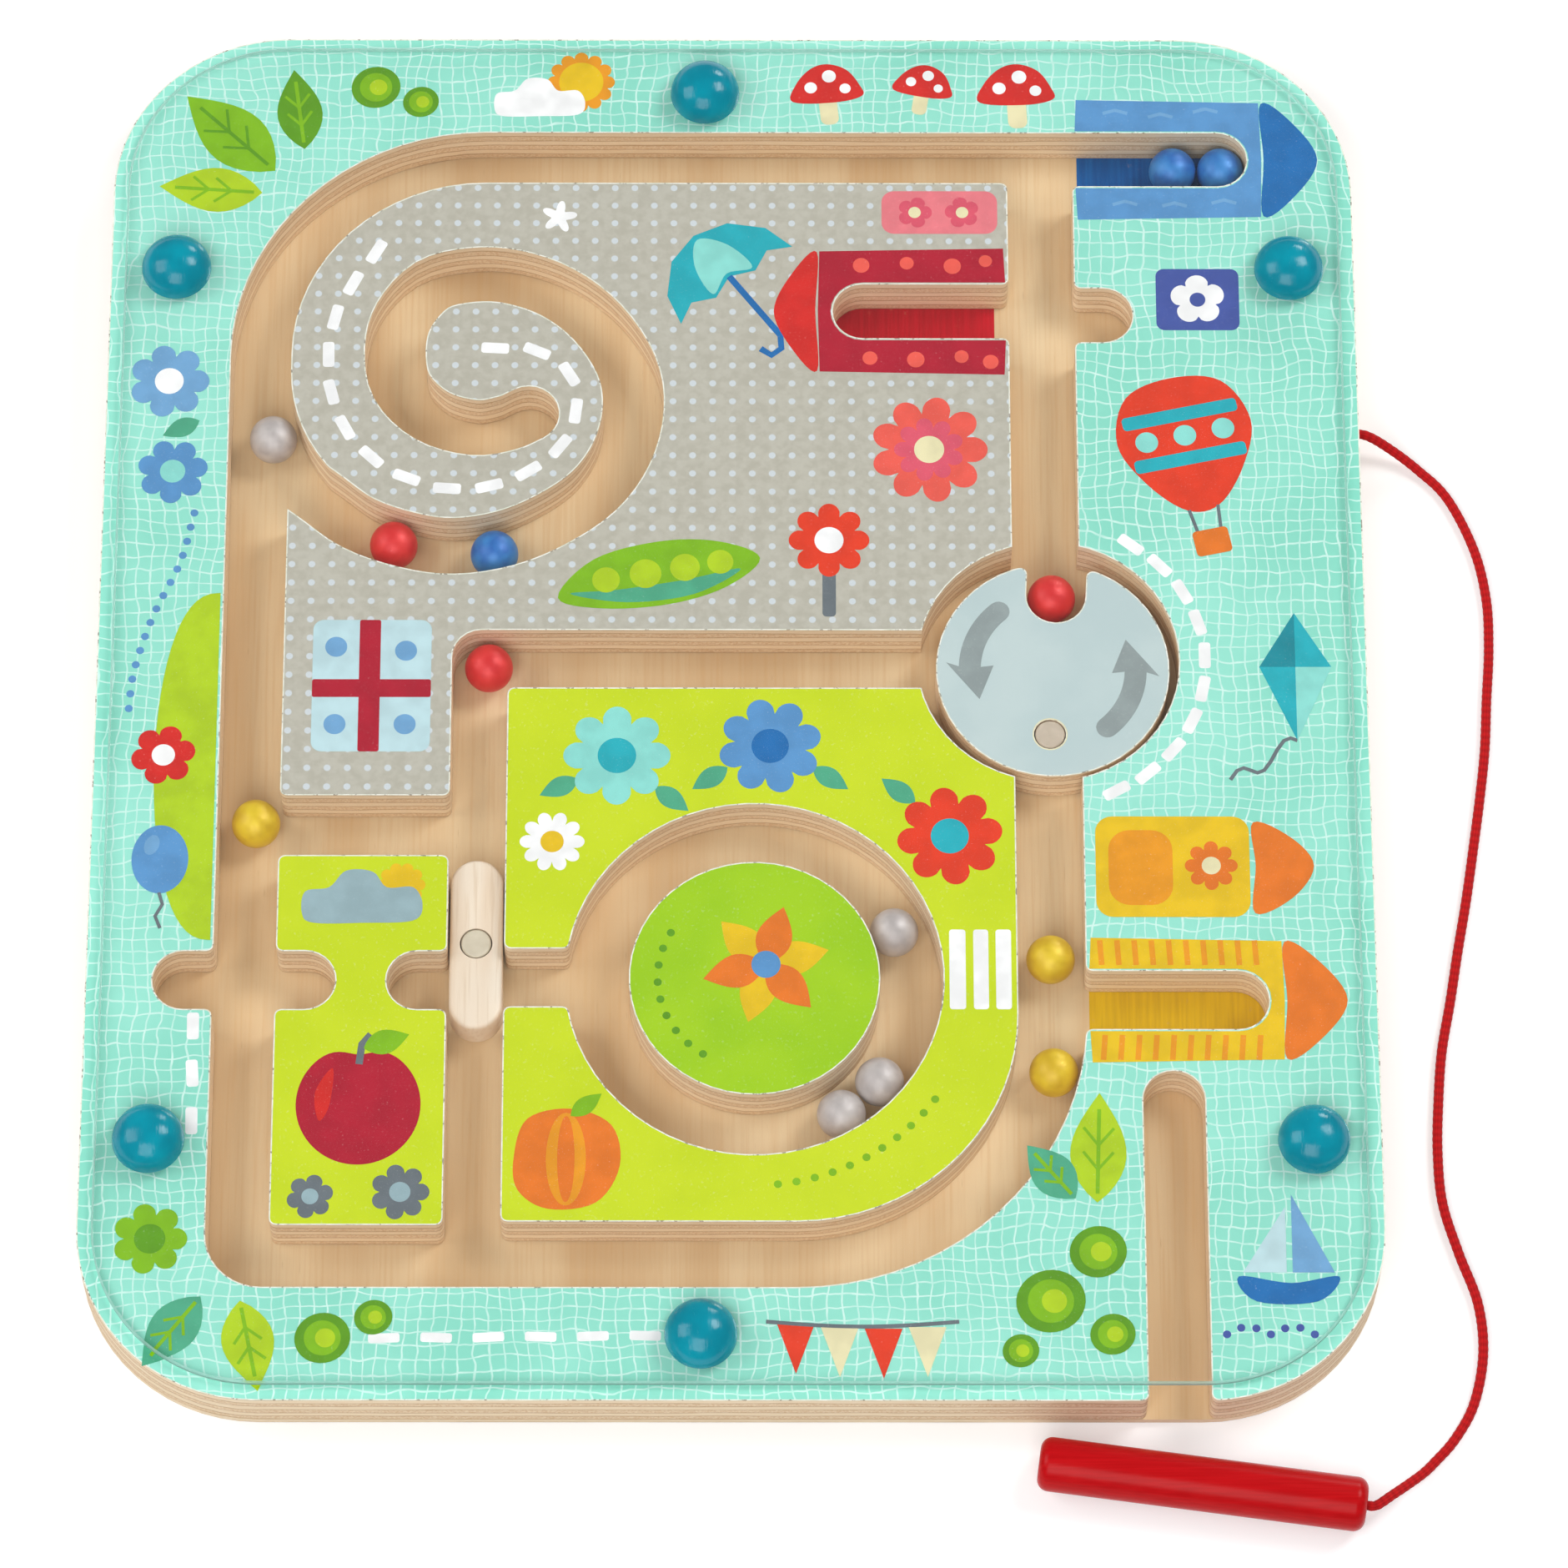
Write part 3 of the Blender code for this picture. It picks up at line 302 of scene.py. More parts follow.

# %% [markdown]
# Polyester braid has a soft sheen on the crowns of its strands. Its colour is painted darker between them as
# painted shade and paler on the crowns as a painted sheen. The relief's height is an attribute of the mesh,
# so the colour follows the strands round every bend.

# %% Polyester braid
def polyester_braid():
    """Dyed polyester yarn, braided: matt with sheen, painted shade in the gaps, painted sheen on the crowns.
    """
    material, tree, shader, place = start_material(
        "red_polyester_braid", 0.75, Sheen_Weight=0.08, Specular_IOR_Level=0.15)
    height = put(tree, "ShaderNodeAttribute", attribute_name="braid_height").outputs["Fac"]
    fibres = speckle(tree, place, 6.0, 2.0)
    # The dark gap tones are painted shade and the pale crown tones a painted sheen.
    tones = [put(tree, "ShaderNodeMix", {0: fibres, 6: dark, 7: pale}, data_type="RGBA").outputs[2]
             for dark, pale in (("#8E0509", "#A60A0F"), ("#C41015", "#D41C1E"))]
    painted_shade_and_sheen = put(tree, "ShaderNodeMix", {0: height, 6: tones[0], 7: tones[1]}, data_type="RGBA").outputs[2]
    finish(tree, shader, painted_shade_and_sheen)
    return material


cord = make_piece("cord_braid", braided_tube(cord_line), "board", "red_braid", [polyester_braid()], ["cord"])

# %% [markdown]
# ## The wand
# A turned beech stick in glossy red lacquer, with a magnet behind its free end. It is a loft of rings along
# a slanting axis: softly rounded at both ends, with a small funnel where the knotted cord goes in.

# %% Turn the wand
WAND_TURN = radians(-7.8)
WAND_RADIUS = 6.24 * MM
WAND_LENGTH = 75.0 * MM
WAND_ROUND = 2.7 * MM
WAND_FUNNEL = 2.3 * MM
WAND_BORE = 1.5 * MM

wand_along = Vector((cos(WAND_TURN), sin(WAND_TURN), 0))
wand_side = Vector((-wand_along.y, wand_along.x, 0))
wand_middle = middle("wand")


def wand_ring(distance, radius, count=96):
    """A ring of the wand at a distance from its middle towards the cord."""
    points = []
    for i in range(count):
        a = tau * i / count
        offset = wand_side * cos(a) + Vector((0, 0, sin(a)))
        points.append(tuple(wand_middle + wand_along * distance + offset * radius))
    return points


def wand_mesh():
    """The lacquered stick from its magnet end to the bottom of its cord hole."""
    half = WAND_LENGTH / 2
    inner = WAND_RADIUS - WAND_ROUND
    profile = [(-half, inner * share) for share in (0.02, 0.5, 0.9)]
    profile += [(-half + WAND_ROUND * (1 - cos(a)), inner + WAND_ROUND * sin(a)) for a in quarter(10)]
    profile += [(half - WAND_ROUND * (1 - sin(a)), inner + WAND_ROUND * cos(a)) for a in quarter(10)]
    profile += [(half, WAND_FUNNEL), (half - 0.3 * MM, WAND_BORE + 0.3 * MM), (half - 0.8 * MM, WAND_BORE),
                (half - 3.2 * MM, WAND_BORE)]
    return loft("wand_lacquer", [wand_ring(distance, radius) for distance, radius in profile])

# %% [markdown]
# Lacquer on turned wood is an even coloured coat. A very faint long grain and small ripples bend the
# reflections, as they do where the dip coat has settled.

# %% Lacquered beech
def lacquered_beech():
    """Red lacquer on turned beech: glossy coat, faint grain and ripples."""
    material, tree, shader, place = start_material("red_lacquered_beech", 0.27, Specular_IOR_Level=0.12)
    grain = speckle(tree, place, (0.06, 1.6, 1.6))
    patches = speckle(tree, place, 0.08, 2.0)
    colour = coated(tree, "#B40A10", ("#C00F15", grain), ("#C81A1A", patches, 0.55, 0.75, 0.35))
    finish(tree, shader, colour, grain, 0.05 * MM)
    return material


make_piece("wand_lacquer", wand_mesh(), "wand", "red_lacquer", [lacquered_beech()], ["wand", "wand_tip"])

# %% [markdown]
# ## Plywood
# The base, the frame and the islands are cut from birch plywood. Their faces show long grain from front to
# back, and their cut sides show the plies: light long-grain layers, darker end-grain layers, and thin brown
# glue lines. Height above the table decides the ply, and the face's own direction tells top from side.

# %% The cut sides of plywood
PLY = 2.15
PLY_SOFTNESS = 0.12


def ply_sides(tree, place):
    """The colour of plywood's cut sides by height, and its fibres."""
    height = put(tree, "ShaderNodeSeparateXYZ", {0: place}).outputs["Z"]
    wave = speckle(tree, place, (0.05, 0.05, 0.4), 2.0)
    drift = put(tree, "ShaderNodeMapRange", {0: wave, 1: 0.2, 2: 0.8, 3: -0.28, 4: 0.28},
                interpolation_type="SMOOTHSTEP").outputs[0]
    level = put(tree, "ShaderNodeMath", {0: height, 1: drift}, operation="ADD").outputs[0]
    double = put(tree, "ShaderNodeMath", {0: level, 1: 2 * PLY}, operation="MODULO").outputs[0]
    joint = put(tree, "ShaderNodeMath", {0: level, 1: PLY / 2}, operation="PINGPONG").outputs[0]
    fibres = speckle(tree, place, (0.35, 0.35, 5.0))
    pores = speckle(tree, place, (1.8, 1.8, 2.4))
    long_grain = put(tree, "ShaderNodeMix", {0: fibres, 6: "#EBD0AA", 7: "#FBECD3"},
                     data_type="RGBA").outputs[2]
    end_grain = coated(tree, "#DDBC95", ("#F1DCBD", pores))
    layer = coat(tree, long_grain, end_grain, double, PLY - PLY_SOFTNESS, PLY + PLY_SOFTNESS)
    return coat(tree, layer, "#B38A5C", joint, 0.06, 0.30, 0.62, 0.0), fibres


def birch_face(tree, place):
    """Rotary-cut birch: broad soft figure, fine straight grain and a few short pores."""
    figure = speckle(tree, place, (0.045, 0.006, 0.05), 2.0)
    grain = speckle(tree, place, (1.1, 0.03, 0.5))
    pores = speckle(tree, place, (2.6, 0.14, 1.0), 2.0)
    return coated(tree, "#DCBC90", ("#EAD2AA", figure, 0.35, 0.65, 1.0),
                  ("#D7AB75", grain, 0.42, 0.72, 0.30), ("#A57A4C", pores, 0.70, 0.80, 0.4))

# %% [markdown]
# ## Prints
# A printed sheet covers the plywood's top. The rim is mint with a hand-drawn net of pale lines, the big
# island is warm grey with pale dots, and the front islands are plain green fields. Each print is worked out
# from the place in millimetres, so it stays still and has the same size on every piece.

# %% The mint net
NET_PITCH = (3.05, 3.25)
NET_BENDS = ((0.045, 7.0), (0.22, 1.5))


def mint_net(tree, place):
    """Mint ground with pale lines both ways, bent by a slow and a quick noise."""
    bent = place
    for fineness, reach in NET_BENDS:
        noise = put(tree, "ShaderNodeTexNoise", {"Vector": place, "Scale": fineness, "Detail": 1.0})
        shift = put(tree, "ShaderNodeVectorMath", {0: noise.outputs["Color"], 1: (reach, reach, 0.0)},
                    operation="MULTIPLY").outputs[0]
        bent = put(tree, "ShaderNodeVectorMath", {0: bent, 1: shift}, operation="ADD").outputs[0]
    split = put(tree, "ShaderNodeSeparateXYZ", {0: bent})
    lines = []
    for axis, pitch in zip("XY", NET_PITCH):
        off = put(tree, "ShaderNodeMath", {0: split.outputs[axis], 1: pitch / 2}, operation="PINGPONG")
        lines.append(put(tree, "ShaderNodeMapRange", {0: off.outputs[0], 1: 0.09, 2: 0.27, 3: 1.0, 4: 0.0},
                         interpolation_type="SMOOTHSTEP").outputs[0])
    net = put(tree, "ShaderNodeMath", {0: lines[0], 1: lines[1]}, operation="MAXIMUM").outputs[0]
    wash = speckle(tree, place, 0.3, 2.0)
    faint = put(tree, "ShaderNodeMapRange", {0: wash, 1: 0.3, 2: 0.7, 3: 0.55, 4: 0.95},
                interpolation_type="SMOOTHSTEP").outputs[0]
    share = put(tree, "ShaderNodeMath", {0: net, 1: faint}, operation="MULTIPLY").outputs[0]
    ground = coated(tree, "#8ADBC6", ("#9CE7D4", speckle(tree, place, 0.03)))
    return put(tree, "ShaderNodeMix", {0: share, 6: ground, 7: "#D6F7EE"}, data_type="RGBA").outputs[2]

# %% The grey dots and the green fields
DOT_PITCH = (4.75, 4.80)


def grey_dots(tree, place):
    """Warm grey ground with rows of pale dots."""
    split = put(tree, "ShaderNodeSeparateXYZ", {0: place})
    squares = []
    for axis, pitch in zip("XY", DOT_PITCH):
        off = put(tree, "ShaderNodeMath", {0: split.outputs[axis], 1: pitch / 2}, operation="PINGPONG")
        squares.append(put(tree, "ShaderNodeMath", {0: off.outputs[0], 1: 2.0}, operation="POWER").outputs[0])
    total = put(tree, "ShaderNodeMath", {0: squares[0], 1: squares[1]}, operation="ADD").outputs[0]
    ground = coated(tree, "#B5B1A3", ("#BFBCAF", speckle(tree, place, 0.5)))
    return coat(tree, ground, "#CFD6DA", total, 0.50, 0.86, 1.0, 0.0)


def plain_field(pale, deep):
    """A builder for one plain printed colour with a slight wash."""
    def field(tree, place):
        wash, fine = speckle(tree, place, 0.05), speckle(tree, place, 1.5, 2.0)
        return coated(tree, deep, (pale, wash), ("#FFFFFF", fine, 0.6, 0.8, 0.12))
    return field

# %% Plywood with a printed top
MATT = {"roughness": 0.6, "Specular_IOR_Level": 0.12}


def printed_plywood(name, print_of):
    """Plywood with a print on its upward faces, plies on its sides and birch on its underside."""
    material, tree, shader, place = start_material(name, **MATT)
    sides, fibres = ply_sides(tree, place)
    normal = put(tree, "ShaderNodeNewGeometry").outputs["True Normal"]
    upward = put(tree, "ShaderNodeSeparateXYZ", {0: normal}).outputs["Z"]
    bare_wood = coat(tree, sides, birch_face(tree, place), upward, -0.9, -0.6, 1.0, 0.0)
    finish(tree, shader, coat(tree, bare_wood, print_of(tree, place), upward, 0.6, 0.9), fibres, 0.12 * MM)
    return material


green = printed_plywood("green_printed_plywood", plain_field("#CBDD1C", "#C3D714"))
PLATES = (
    ("base_plate", "board", "base_ply", printed_plywood("bare_birch_plywood", birch_face)),
    ("maze_frame", "board", "mint_print", printed_plywood("mint_printed_plywood", mint_net)),
    ("spiral_island", "board", "grey_print", printed_plywood("grey_printed_plywood", grey_dots)),
    ("ring_island", "board", "green_print", green),
    ("notch_island", "board", "green_print", green),
    ("hub_island", "board", "green_print",
     printed_plywood("leaf_green_printed_plywood", plain_field("#A2CF12", "#97C80E"))),
    ("turntable", "turntable", "turntable_paint",
     printed_plywood("blue_grey_printed_plywood", plain_field("#C2D3D3", "#B9CCCD"))),
)

# %% [markdown]
# ## The cut plates
# The CAD meshes are loose triangles. A copy is welded, so that routed curves can shade smoothly, while the
# sharp rim between top and side stays sharp. The copies keep every size of the CAD model.

# %% Weld and dress the plates
WELD_DISTANCE = 0.001 * MM


def welded(node):
    """A welded copy of a CAD node's mesh, as a bmesh."""
    shape = bmesh.new()
    shape.from_mesh(nodes[node].data)
    bmesh.ops.remove_doubles(shape, verts=shape.verts, dist=WELD_DISTANCE)
    return shape


def plain_mesh(name, shape):
    """A mesh of a bmesh's points and faces alone, sorted, so that each run gives the same order."""
    shape.verts.index_update()
    faces = sorted([v.index for v in face.verts] for face in shape.faces)
    mesh = bpy.data.meshes.new(name)
    mesh.from_pydata([tuple(v.co) for v in shape.verts], [], faces)
    shape.free()
    return mesh


def dressed_plate(node, body, slot, material):
    """A smooth-shaded welded copy of a CAD plate, without the CAD's own normals."""
    mesh = smooth(plain_mesh(node + "_wood", welded(node)))
    make_piece(node + "_wood", mesh, body, slot, [material], [node])


for plate in PLATES:
    dressed_plate(*plate)

# %% [markdown]
# ## Worn print edges
# The router leaves the printed sheet's cut edge bare: a hair-thin white line, dark here and there where the
# bit has singed it. The line is a narrow band just inside each plate's top outline.

# %% The white cut edge of the prints
LINE_WIDTH = 0.30 * MM
FILM = 0.012 * MM


def white_cut_edge():
    """The cut edge of printed paper: off-white, with a few singed spots."""
    material, tree, shader, place = start_material("print_cut_edge", 0.7)
    tone, singe = speckle(tree, place, 0.4), speckle(tree, place, 0.9)
    finish(tree, shader, coated(tree, "#D9DDCB", ("#F4F4EA", tone), ("#6B5A45", singe, 0.56, 0.66, 0.75)))
    return material


def cut_edge_band(node, body, slot, material):
    """The band inside a plate's top outline."""
    shape = welded(node)
    top = max(v.co.z for v in shape.verts)
    others = [f for f in shape.faces if any(abs(v.co.z - top) > FILM for v in f.verts)]
    bmesh.ops.delete(shape, geom=others, context="FACES")
    made = bmesh.ops.inset_region(
        shape, faces=shape.faces[:], thickness=LINE_WIDTH, use_boundary=True, use_even_offset=True)
    band = set(made["faces"])
    bmesh.ops.delete(shape, geom=[f for f in shape.faces if f not in band], context="FACES")
    lifted = bmesh.ops.extrude_face_region(shape, geom=shape.faces[:])
    raised_verts = [v for v in lifted["geom"] if isinstance(v, bmesh.types.BMVert)]
    bmesh.ops.translate(shape, verts=raised_verts, vec=(0, 0, FILM))
    bmesh.ops.recalc_face_normals(shape, faces=shape.faces)
    make_piece(node + "_cut_edge", plain_mesh(node + "_cut_edge", shape), body, slot, [material])


cut_edge = white_cut_edge()
for node, body, slot, _ in PLATES[1:]:
    cut_edge_band(node, body, slot, cut_edge)

# %% [markdown]
# ## Printed pictures
# Flat coloured pictures decorate the prints. Here they are simple garden and sky motifs of our own: flowers,
# leaves, toadstools, a balloon, a kite and a boat. Each is a closed outline, made into a film at most
# 0.14 mm thick, and a film that lies on another is a little higher, so both show.

# %% Inks
INKS = {
    "white": "#FFFFFF", "cream": "#EFE6B8", "yellow": "#EDC416", "amber": "#EE9C1B", "orange": "#EB7A22",
    "vermilion": "#E83C1C", "red": "#D9261F", "crimson": "#B3122E", "coral": "#F15E50", "pink": "#F08089",
    "rose": "#E2586E", "teal": "#1FB0BE", "deep_teal": "#128C9B", "aqua": "#8FE0D6", "sky": "#74A9D6",
    "blue": "#5C98CF", "deep_blue": "#1C6FB4", "indigo": "#4659A6", "ice": "#C3E2E8", "lime": "#B4D41A",
    "leaf": "#82BC12", "deep_leaf": "#5F9E16", "sea_green": "#4FAC88", "slate": "#6C757B", "mist": "#9AB5BC",
    "arrow_grey": "#97A3A3",
}
INK_SHADE = 0.86


def printing_ink(name, code):
    """One printed colour, a little uneven as brushed gouache prints."""
    material, tree, shader, place = start_material(name + "_ink", **MATT)
    wash, fine = speckle(tree, place, 0.16), speckle(tree, place, 2.2, 2.0)
    darker = tuple(part * INK_SHADE for part in linear(code)[:3]) + (1.0,)
    finish(tree, shader, coated(tree, darker, (code, wash), ("#FFFFFF", fine, 0.62, 0.8, 0.15)))
    return material


inks = {name: printing_ink(name, code) for name, code in INKS.items()}

# %% Outlines, in millimetres
def moved(outline, x, y, turn):
    """An outline drawn about the origin, turned and moved to its place."""
    c, s = cos(radians(turn)), sin(radians(turn))
    return [(x + u * c - v * s, y + u * s + v * c) for u, v in outline]


def arc(x, y, radius, start, end, count=60):
    """Points along an arc, angles in degrees."""
    turns = [radians(start + (end - start) * i / count) for i in range(count + 1)]
    return [(x + radius * cos(a), y + radius * sin(a)) for a in turns]


def petal_curve(x, y, reach, wide, tall, turn=0, count=72):
    """A closed curve whose reach from its middle changes with the angle."""
    turns = [tau * i / count for i in range(count)]
    return moved([(wide * reach(a) * cos(a), tall * reach(a) * sin(a)) for a in turns], x, y, turn)


def oval(x, y, wide, tall=None, turn=0, count=32):
    """An oval by its half width and half height."""
    return petal_curve(x, y, lambda a: 1.0, wide, tall or wide, turn, count)


def flower(x, y, radius, petals, turn=0, depth=0.16):
    """A ring of round petals as one outline."""
    def reach(a):
        return 1 - depth + depth * abs(cos(petals * a / 2)) ** 0.6 * 2 - depth
    return petal_curve(x, y, reach, radius, radius, turn, 12 * petals)


def leaf(x, y, length, width, turn=0):
    """A pointed leaf that starts at x, y."""
    out = [i / 12 for i in range(12)]
    sides = [(length * t, width / 2 * sin(pi * t ** 0.85)) for t in out]
    sides += [(length * t, -width / 2 * sin(pi * t ** 0.85)) for t in (1 - step for step in out)]
    return moved(sides, x, y, turn)


def block(x0, y0, x1, y1, radius, steps=6):
    """A rectangle with rounded corners."""
    left, right, front, back = x0 + radius, x1 - radius, y0 + radius, y1 - radius
    points = []
    for x, y, start in ((right, back, 0), (left, back, 90), (left, front, 180), (right, front, 270)):
        points += arc(x, y, radius, start, start + 90, steps)
    return points


def blob(*corners, steps=6):
    """A smooth closed outline through a few corners."""
    points = [Vector((*corner, 0)) for corner in corners]
    path = smooth_route(points[-2:] + points + points[:2], steps)
    return [tuple(point[:2]) for point in path[2 * steps:(2 + len(points)) * steps]]


def stroke(points, width=0.9):
    """A drawn line with square ends."""
    line = [Vector(point) for point in points]
    left, right = [], []
    for i, point in enumerate(line):
        along = (line[min(i + 1, len(line) - 1)] - line[max(i - 1, 0)]).normalized()
        across = Vector((-along.y, along.x)) * width / 2
        left.append(tuple(point + across))
        right.append(tuple(point - across))
    return left + right[::-1]

# %% [markdown]
# A picture is a list of films: an ink, an outline and a layer. Small groups such as a toadstool are drawn
# about the origin and then placed. The films of one plate become one mesh.

# %% Groups of films
def placed(films, x, y, turn):
    """Films drawn about the origin, turned and moved to their place."""
    return [(ink, moved(outline, x, y, turn), layer) for ink, outline, layer in films]


def daisy(x, y, radius, petals, ring_ink, eye_ink, turn=0):
    """A flower with an eye."""
    return [(ring_ink, flower(x, y, radius, petals, turn), 1), (eye_ink, oval(x, y, radius * 0.36), 2)]


def ribbed_leaf(x, y, length, width, turn, ink, rib_ink):
    """A leaf with a midrib and four veins."""
    films = [(ink, leaf(0, 0, length, width), 1),
             (rib_ink, stroke([(length * 0.08, 0), (length * 0.85, 0)]), 2)]
    for share in (0.3, 0.52):
        for sign in (1, -1):
            vein = [(length * share, 0), (length * (share + 0.16), sign * width * 0.27)]
            films.append((rib_ink, stroke(vein, 0.7), 2))
    return placed(films, x, y, turn)


def toadstool(x, y, size, turn):
    """A red cap with white spots on a pale stem."""
    cap = ((-0.5, 0), (-0.42, 0.28), (-0.2, 0.5), (0.05, 0.56), (0.32, 0.44), (0.48, 0.18), (0.5, 0),
           (0.1, -0.07))
    films = [("cream", block(-size * 0.13, -size * 0.42, size * 0.13, 0.5, size * 0.1), 1),
             ("red", blob(*[(u * size, v * size) for u, v in cap]), 2)]
    for u, v, r in ((-0.22, 0.2, 0.09), (0.06, 0.36, 0.1), (0.27, 0.14, 0.08)):
        films.append(("white", oval(u * size, v * size, r * size), 3))
    return placed(films, x, y, turn)


def balloon(x, y, size, turn):
    """A hot-air balloon with a basket."""
    skin = ((0, 0.5), (-0.3, 0.42), (-0.42, 0.12), (-0.3, -0.18), (-0.1, -0.4), (0.1, -0.4), (0.3, -0.18),
            (0.42, 0.12), (0.3, 0.42))
    films = [("vermilion", blob(*[(u * size, v * size) for u, v in skin]), 1)]
    for level, half in ((0.24, 0.36), (-0.06, 0.35)):
        band = block(-size * half, size * (level - 0.04), size * half, size * (level + 0.05), 1)
        films.append(("teal", band, 2))
    films += [("aqua", oval(u * size, size * 0.1, size * 0.07), 3) for u in (-0.24, 0.0, 0.24)]
    films += [("slate", stroke([(u * size, -size * 0.4), (u * size * 0.8, -size * 0.56)], 0.8), 1)
              for u in (-0.09, 0.09)]
    films.append(("orange", block(-size * 0.11, -size * 0.72, size * 0.11, -size * 0.55, 1), 2))
    return placed(films, x, y, turn)


def berry(x, y, radius):
    """A round green berry with a paler heart."""
    return [("deep_leaf", oval(x, y, radius, radius * 0.94, 20), 1), ("leaf", oval(x, y, radius * 0.66), 2),
            ("lime", oval(x + radius * 0.1, y, radius * 0.36), 3)]


def cloud(x, y, size, ink, layer):
    """A small flat-bottomed cloud."""
    puffs = [(-0.5, -0.12), (-0.48, 0.08), (-0.28, 0.12), (-0.14, 0.27), (0.08, 0.26), (0.2, 0.12),
             (0.42, 0.12), (0.5, -0.04), (0.42, -0.18), (0.0, -0.2), (-0.4, -0.2)]
    return [(ink, [(x + size * u, y + size * v) for u, v in blob(*puffs)], layer)]


def garage_surround(mouth, end, y, reach, panel_ink, end_ink, tip):
    """A coloured panel round a garage slot, with a rounded end piece in a second ink."""
    way = 1 if end > mouth else -1
    half, gap = 7.25, 0.55
    bend = end - way * half
    hook = [(mouth + way * 0.8, y + half + gap), (bend, y + half + gap)]
    for i in range(1, 12):
        a = radians(90 - 15 * i)
        hook.append((bend + way * (half + gap) * cos(a), y + (half + gap) * sin(a)))
    hook += [(bend, y - half - gap), (mouth + way * 0.8, y - half - gap)]
    edge = end + way * 3.2
    outer = [(mouth + way * 1.2, y - reach), (edge, y - reach + 0.8), (edge + way * 0.4, y),
             (edge, y + reach - 0.8), (mouth + way * 1.2, y + reach)]
    nose = blob((edge + way * 0.6, y + reach - 1), (edge + way * tip * 0.6, y + reach * 0.6),
                (edge + way * tip, y), (edge + way * tip * 0.6, y - reach * 0.6),
                (edge + way * 0.6, y - reach + 1), (edge + way * 1.0, y))
    return [(panel_ink, hook + outer, 1), (end_ink, nose, 1)]

# %% Pictures on the mint rim
def rim_pictures():
    """The films on the frame's print."""
    films = []
    for place in ((-111, 139, 30, 15, 137, "leaf", "deep_leaf"), (-114, 133, 25, 12, 176, "lime", "leaf"),
                  (-104, 145, 22, 11, 98, "deep_leaf", "leaf")):
        films += ribbed_leaf(*place)
    films += berry(-87, 162, 6.0) + berry(-76, 158, 4.4)
    films += [("amber", flower(-37, 163.5, 8.2, 12, 0, 0.1), 1), ("yellow", oval(-37, 163.5, 5.4), 2)]
    films += cloud(-47, 158.5, 22, "white", 3)
    films += toadstool(23, 159, 17, 6) + toadstool(46, 160.5, 14, -9) + toadstool(69, 158.5, 18, 3)
    films += garage_surround(82.3, 124.7, 142.3, 16.4, "blue", "deep_blue", 14)
    for x, y in ((90, 155), (101, 154), (112, 155.4), (92, 130), (104, 129.6), (116, 130.4)):
        films.append(("sky", stroke([(x, y), (x + 3, y + 0.9), (x + 6, y)]), 2))
    films += [("indigo", block(102, 96, 122, 112.5, 2), 1), ("white", flower(112, 104.2, 6.6, 5, 20), 2),
              ("indigo", oval(112, 104.2, 1.9), 3)]
    films += balloon(109, 64, 39, 12)
    tail = [(133 - 1.6 * i, -12 - 1.1 * i + 2.2 * sin(i * 0.9)) for i in range(11)]
    films += [("teal", [(133, 21), (141.5, 7), (133, -12), (124.5, 7)], 1),
              ("deep_teal", [(133, 21), (133, 7), (124.5, 7)], 2),
              ("aqua", [(133, 7), (141.5, 7), (133, -12)], 2), ("slate", stroke(tail), 1)]
    films += [("yellow", block(85, -57, 121, -31.5, 4), 1), ("amber", block(88, -54, 103, -35, 5), 2),
              ("orange", blob((122, -33), (131, -37), (136, -44), (131, -52), (122, -56), (122.4, -44)), 1)]
    films += daisy(112, -44, 6.2, 8, "orange", "cream")
    films += garage_surround(82.3, 124.7, -77.85, 15.6, "yellow", "orange", 15)
    for x in range(86, 126, 4):
        films.append(("amber", stroke([(x, -92.8), (x + 0.5, -86.6)], 1.3), 2))
        films.append(("amber", stroke([(x, -69.1), (x - 0.4, -62.9)], 1.3), 2))
    films += ribbed_leaf(84, -128, 27, 13, 88, "lime", "leaf")
    films += ribbed_leaf(79, -127, 17, 10, 130, "sea_green", "leaf")
    for x, y, radius in ((84, -140, 6.6), (73, -152, 8.0), (87, -160, 5.2), (66, -164, 4.2)):
        films += berry(x, y, radius)
    films += [("deep_blue", blob((116, -146), (120, -152), (134, -152), (139, -146), (128, -147.6)), 2),
              ("ice", [(127, -145), (127, -129), (117, -145)], 1),
              ("sky", [(128.4, -145), (128.4, -126), (138, -145)], 1)]
    for x, ink in ((10.5, "vermilion"), (20.5, "cream"), (30.5, "vermilion"), (40.5, "cream")):
        drop = -157.5 - 1.2 * sin((x - 10) / 40 * pi)
        films.append((ink, [(x, drop), (x + 8.6, drop), (x + 4.3, drop - 12)], 1))
    string = [(8 + 2 * i, -157 - 1.2 * sin(i / 22 * pi)) for i in range(23)]
    films.append(("slate", stroke(string), 2))
    films += ribbed_leaf(-121, -151, 21, 11, 232, "sea_green", "leaf")
    films += ribbed_leaf(-112, -152, 22, 12, 282, "lime", "leaf")
    films += [("leaf", flower(-133, -137, 8.6, 7), 1), ("deep_leaf", oval(-133, -137, 3.6), 2)]
    films += berry(-93, -161, 6.4) + berry(-81.5, -156, 4.4)
    hill = [(-121.2, 26)]
    for i in range(6, 180, 6):
        a = radians(i)
        hill.append((-121.2 - 14.4 * sin(a) ** 0.8, -18.5 + 44.5 * cos(a)))
    films.append(("lime", hill + [(-121.2, -63)], 0))
    films += daisy(-133.5, -16, 7.6, 6, "red", "white", 12)
    films += [("blue", petal_curve(-133.5, -42, lambda a: 1 - 0.07 * sin(a), 6.6, 8.6), 1),
              ("sky", oval(-135.5, -39, 1.7, 2.6, -20), 2),
              ("slate", stroke([(-133.5, -51), (-132.6, -54), (-134.2, -57), (-133, -60)], 0.8), 1)]
    films += daisy(-135, 82, 9.6, 7, "sky", "white") + daisy(-133.5, 58, 8.4, 7, "blue", "aqua", 10)
    return films + [("sea_green", leaf(-127.5, 71.5, 9.5, 4.8, 205), 0)]

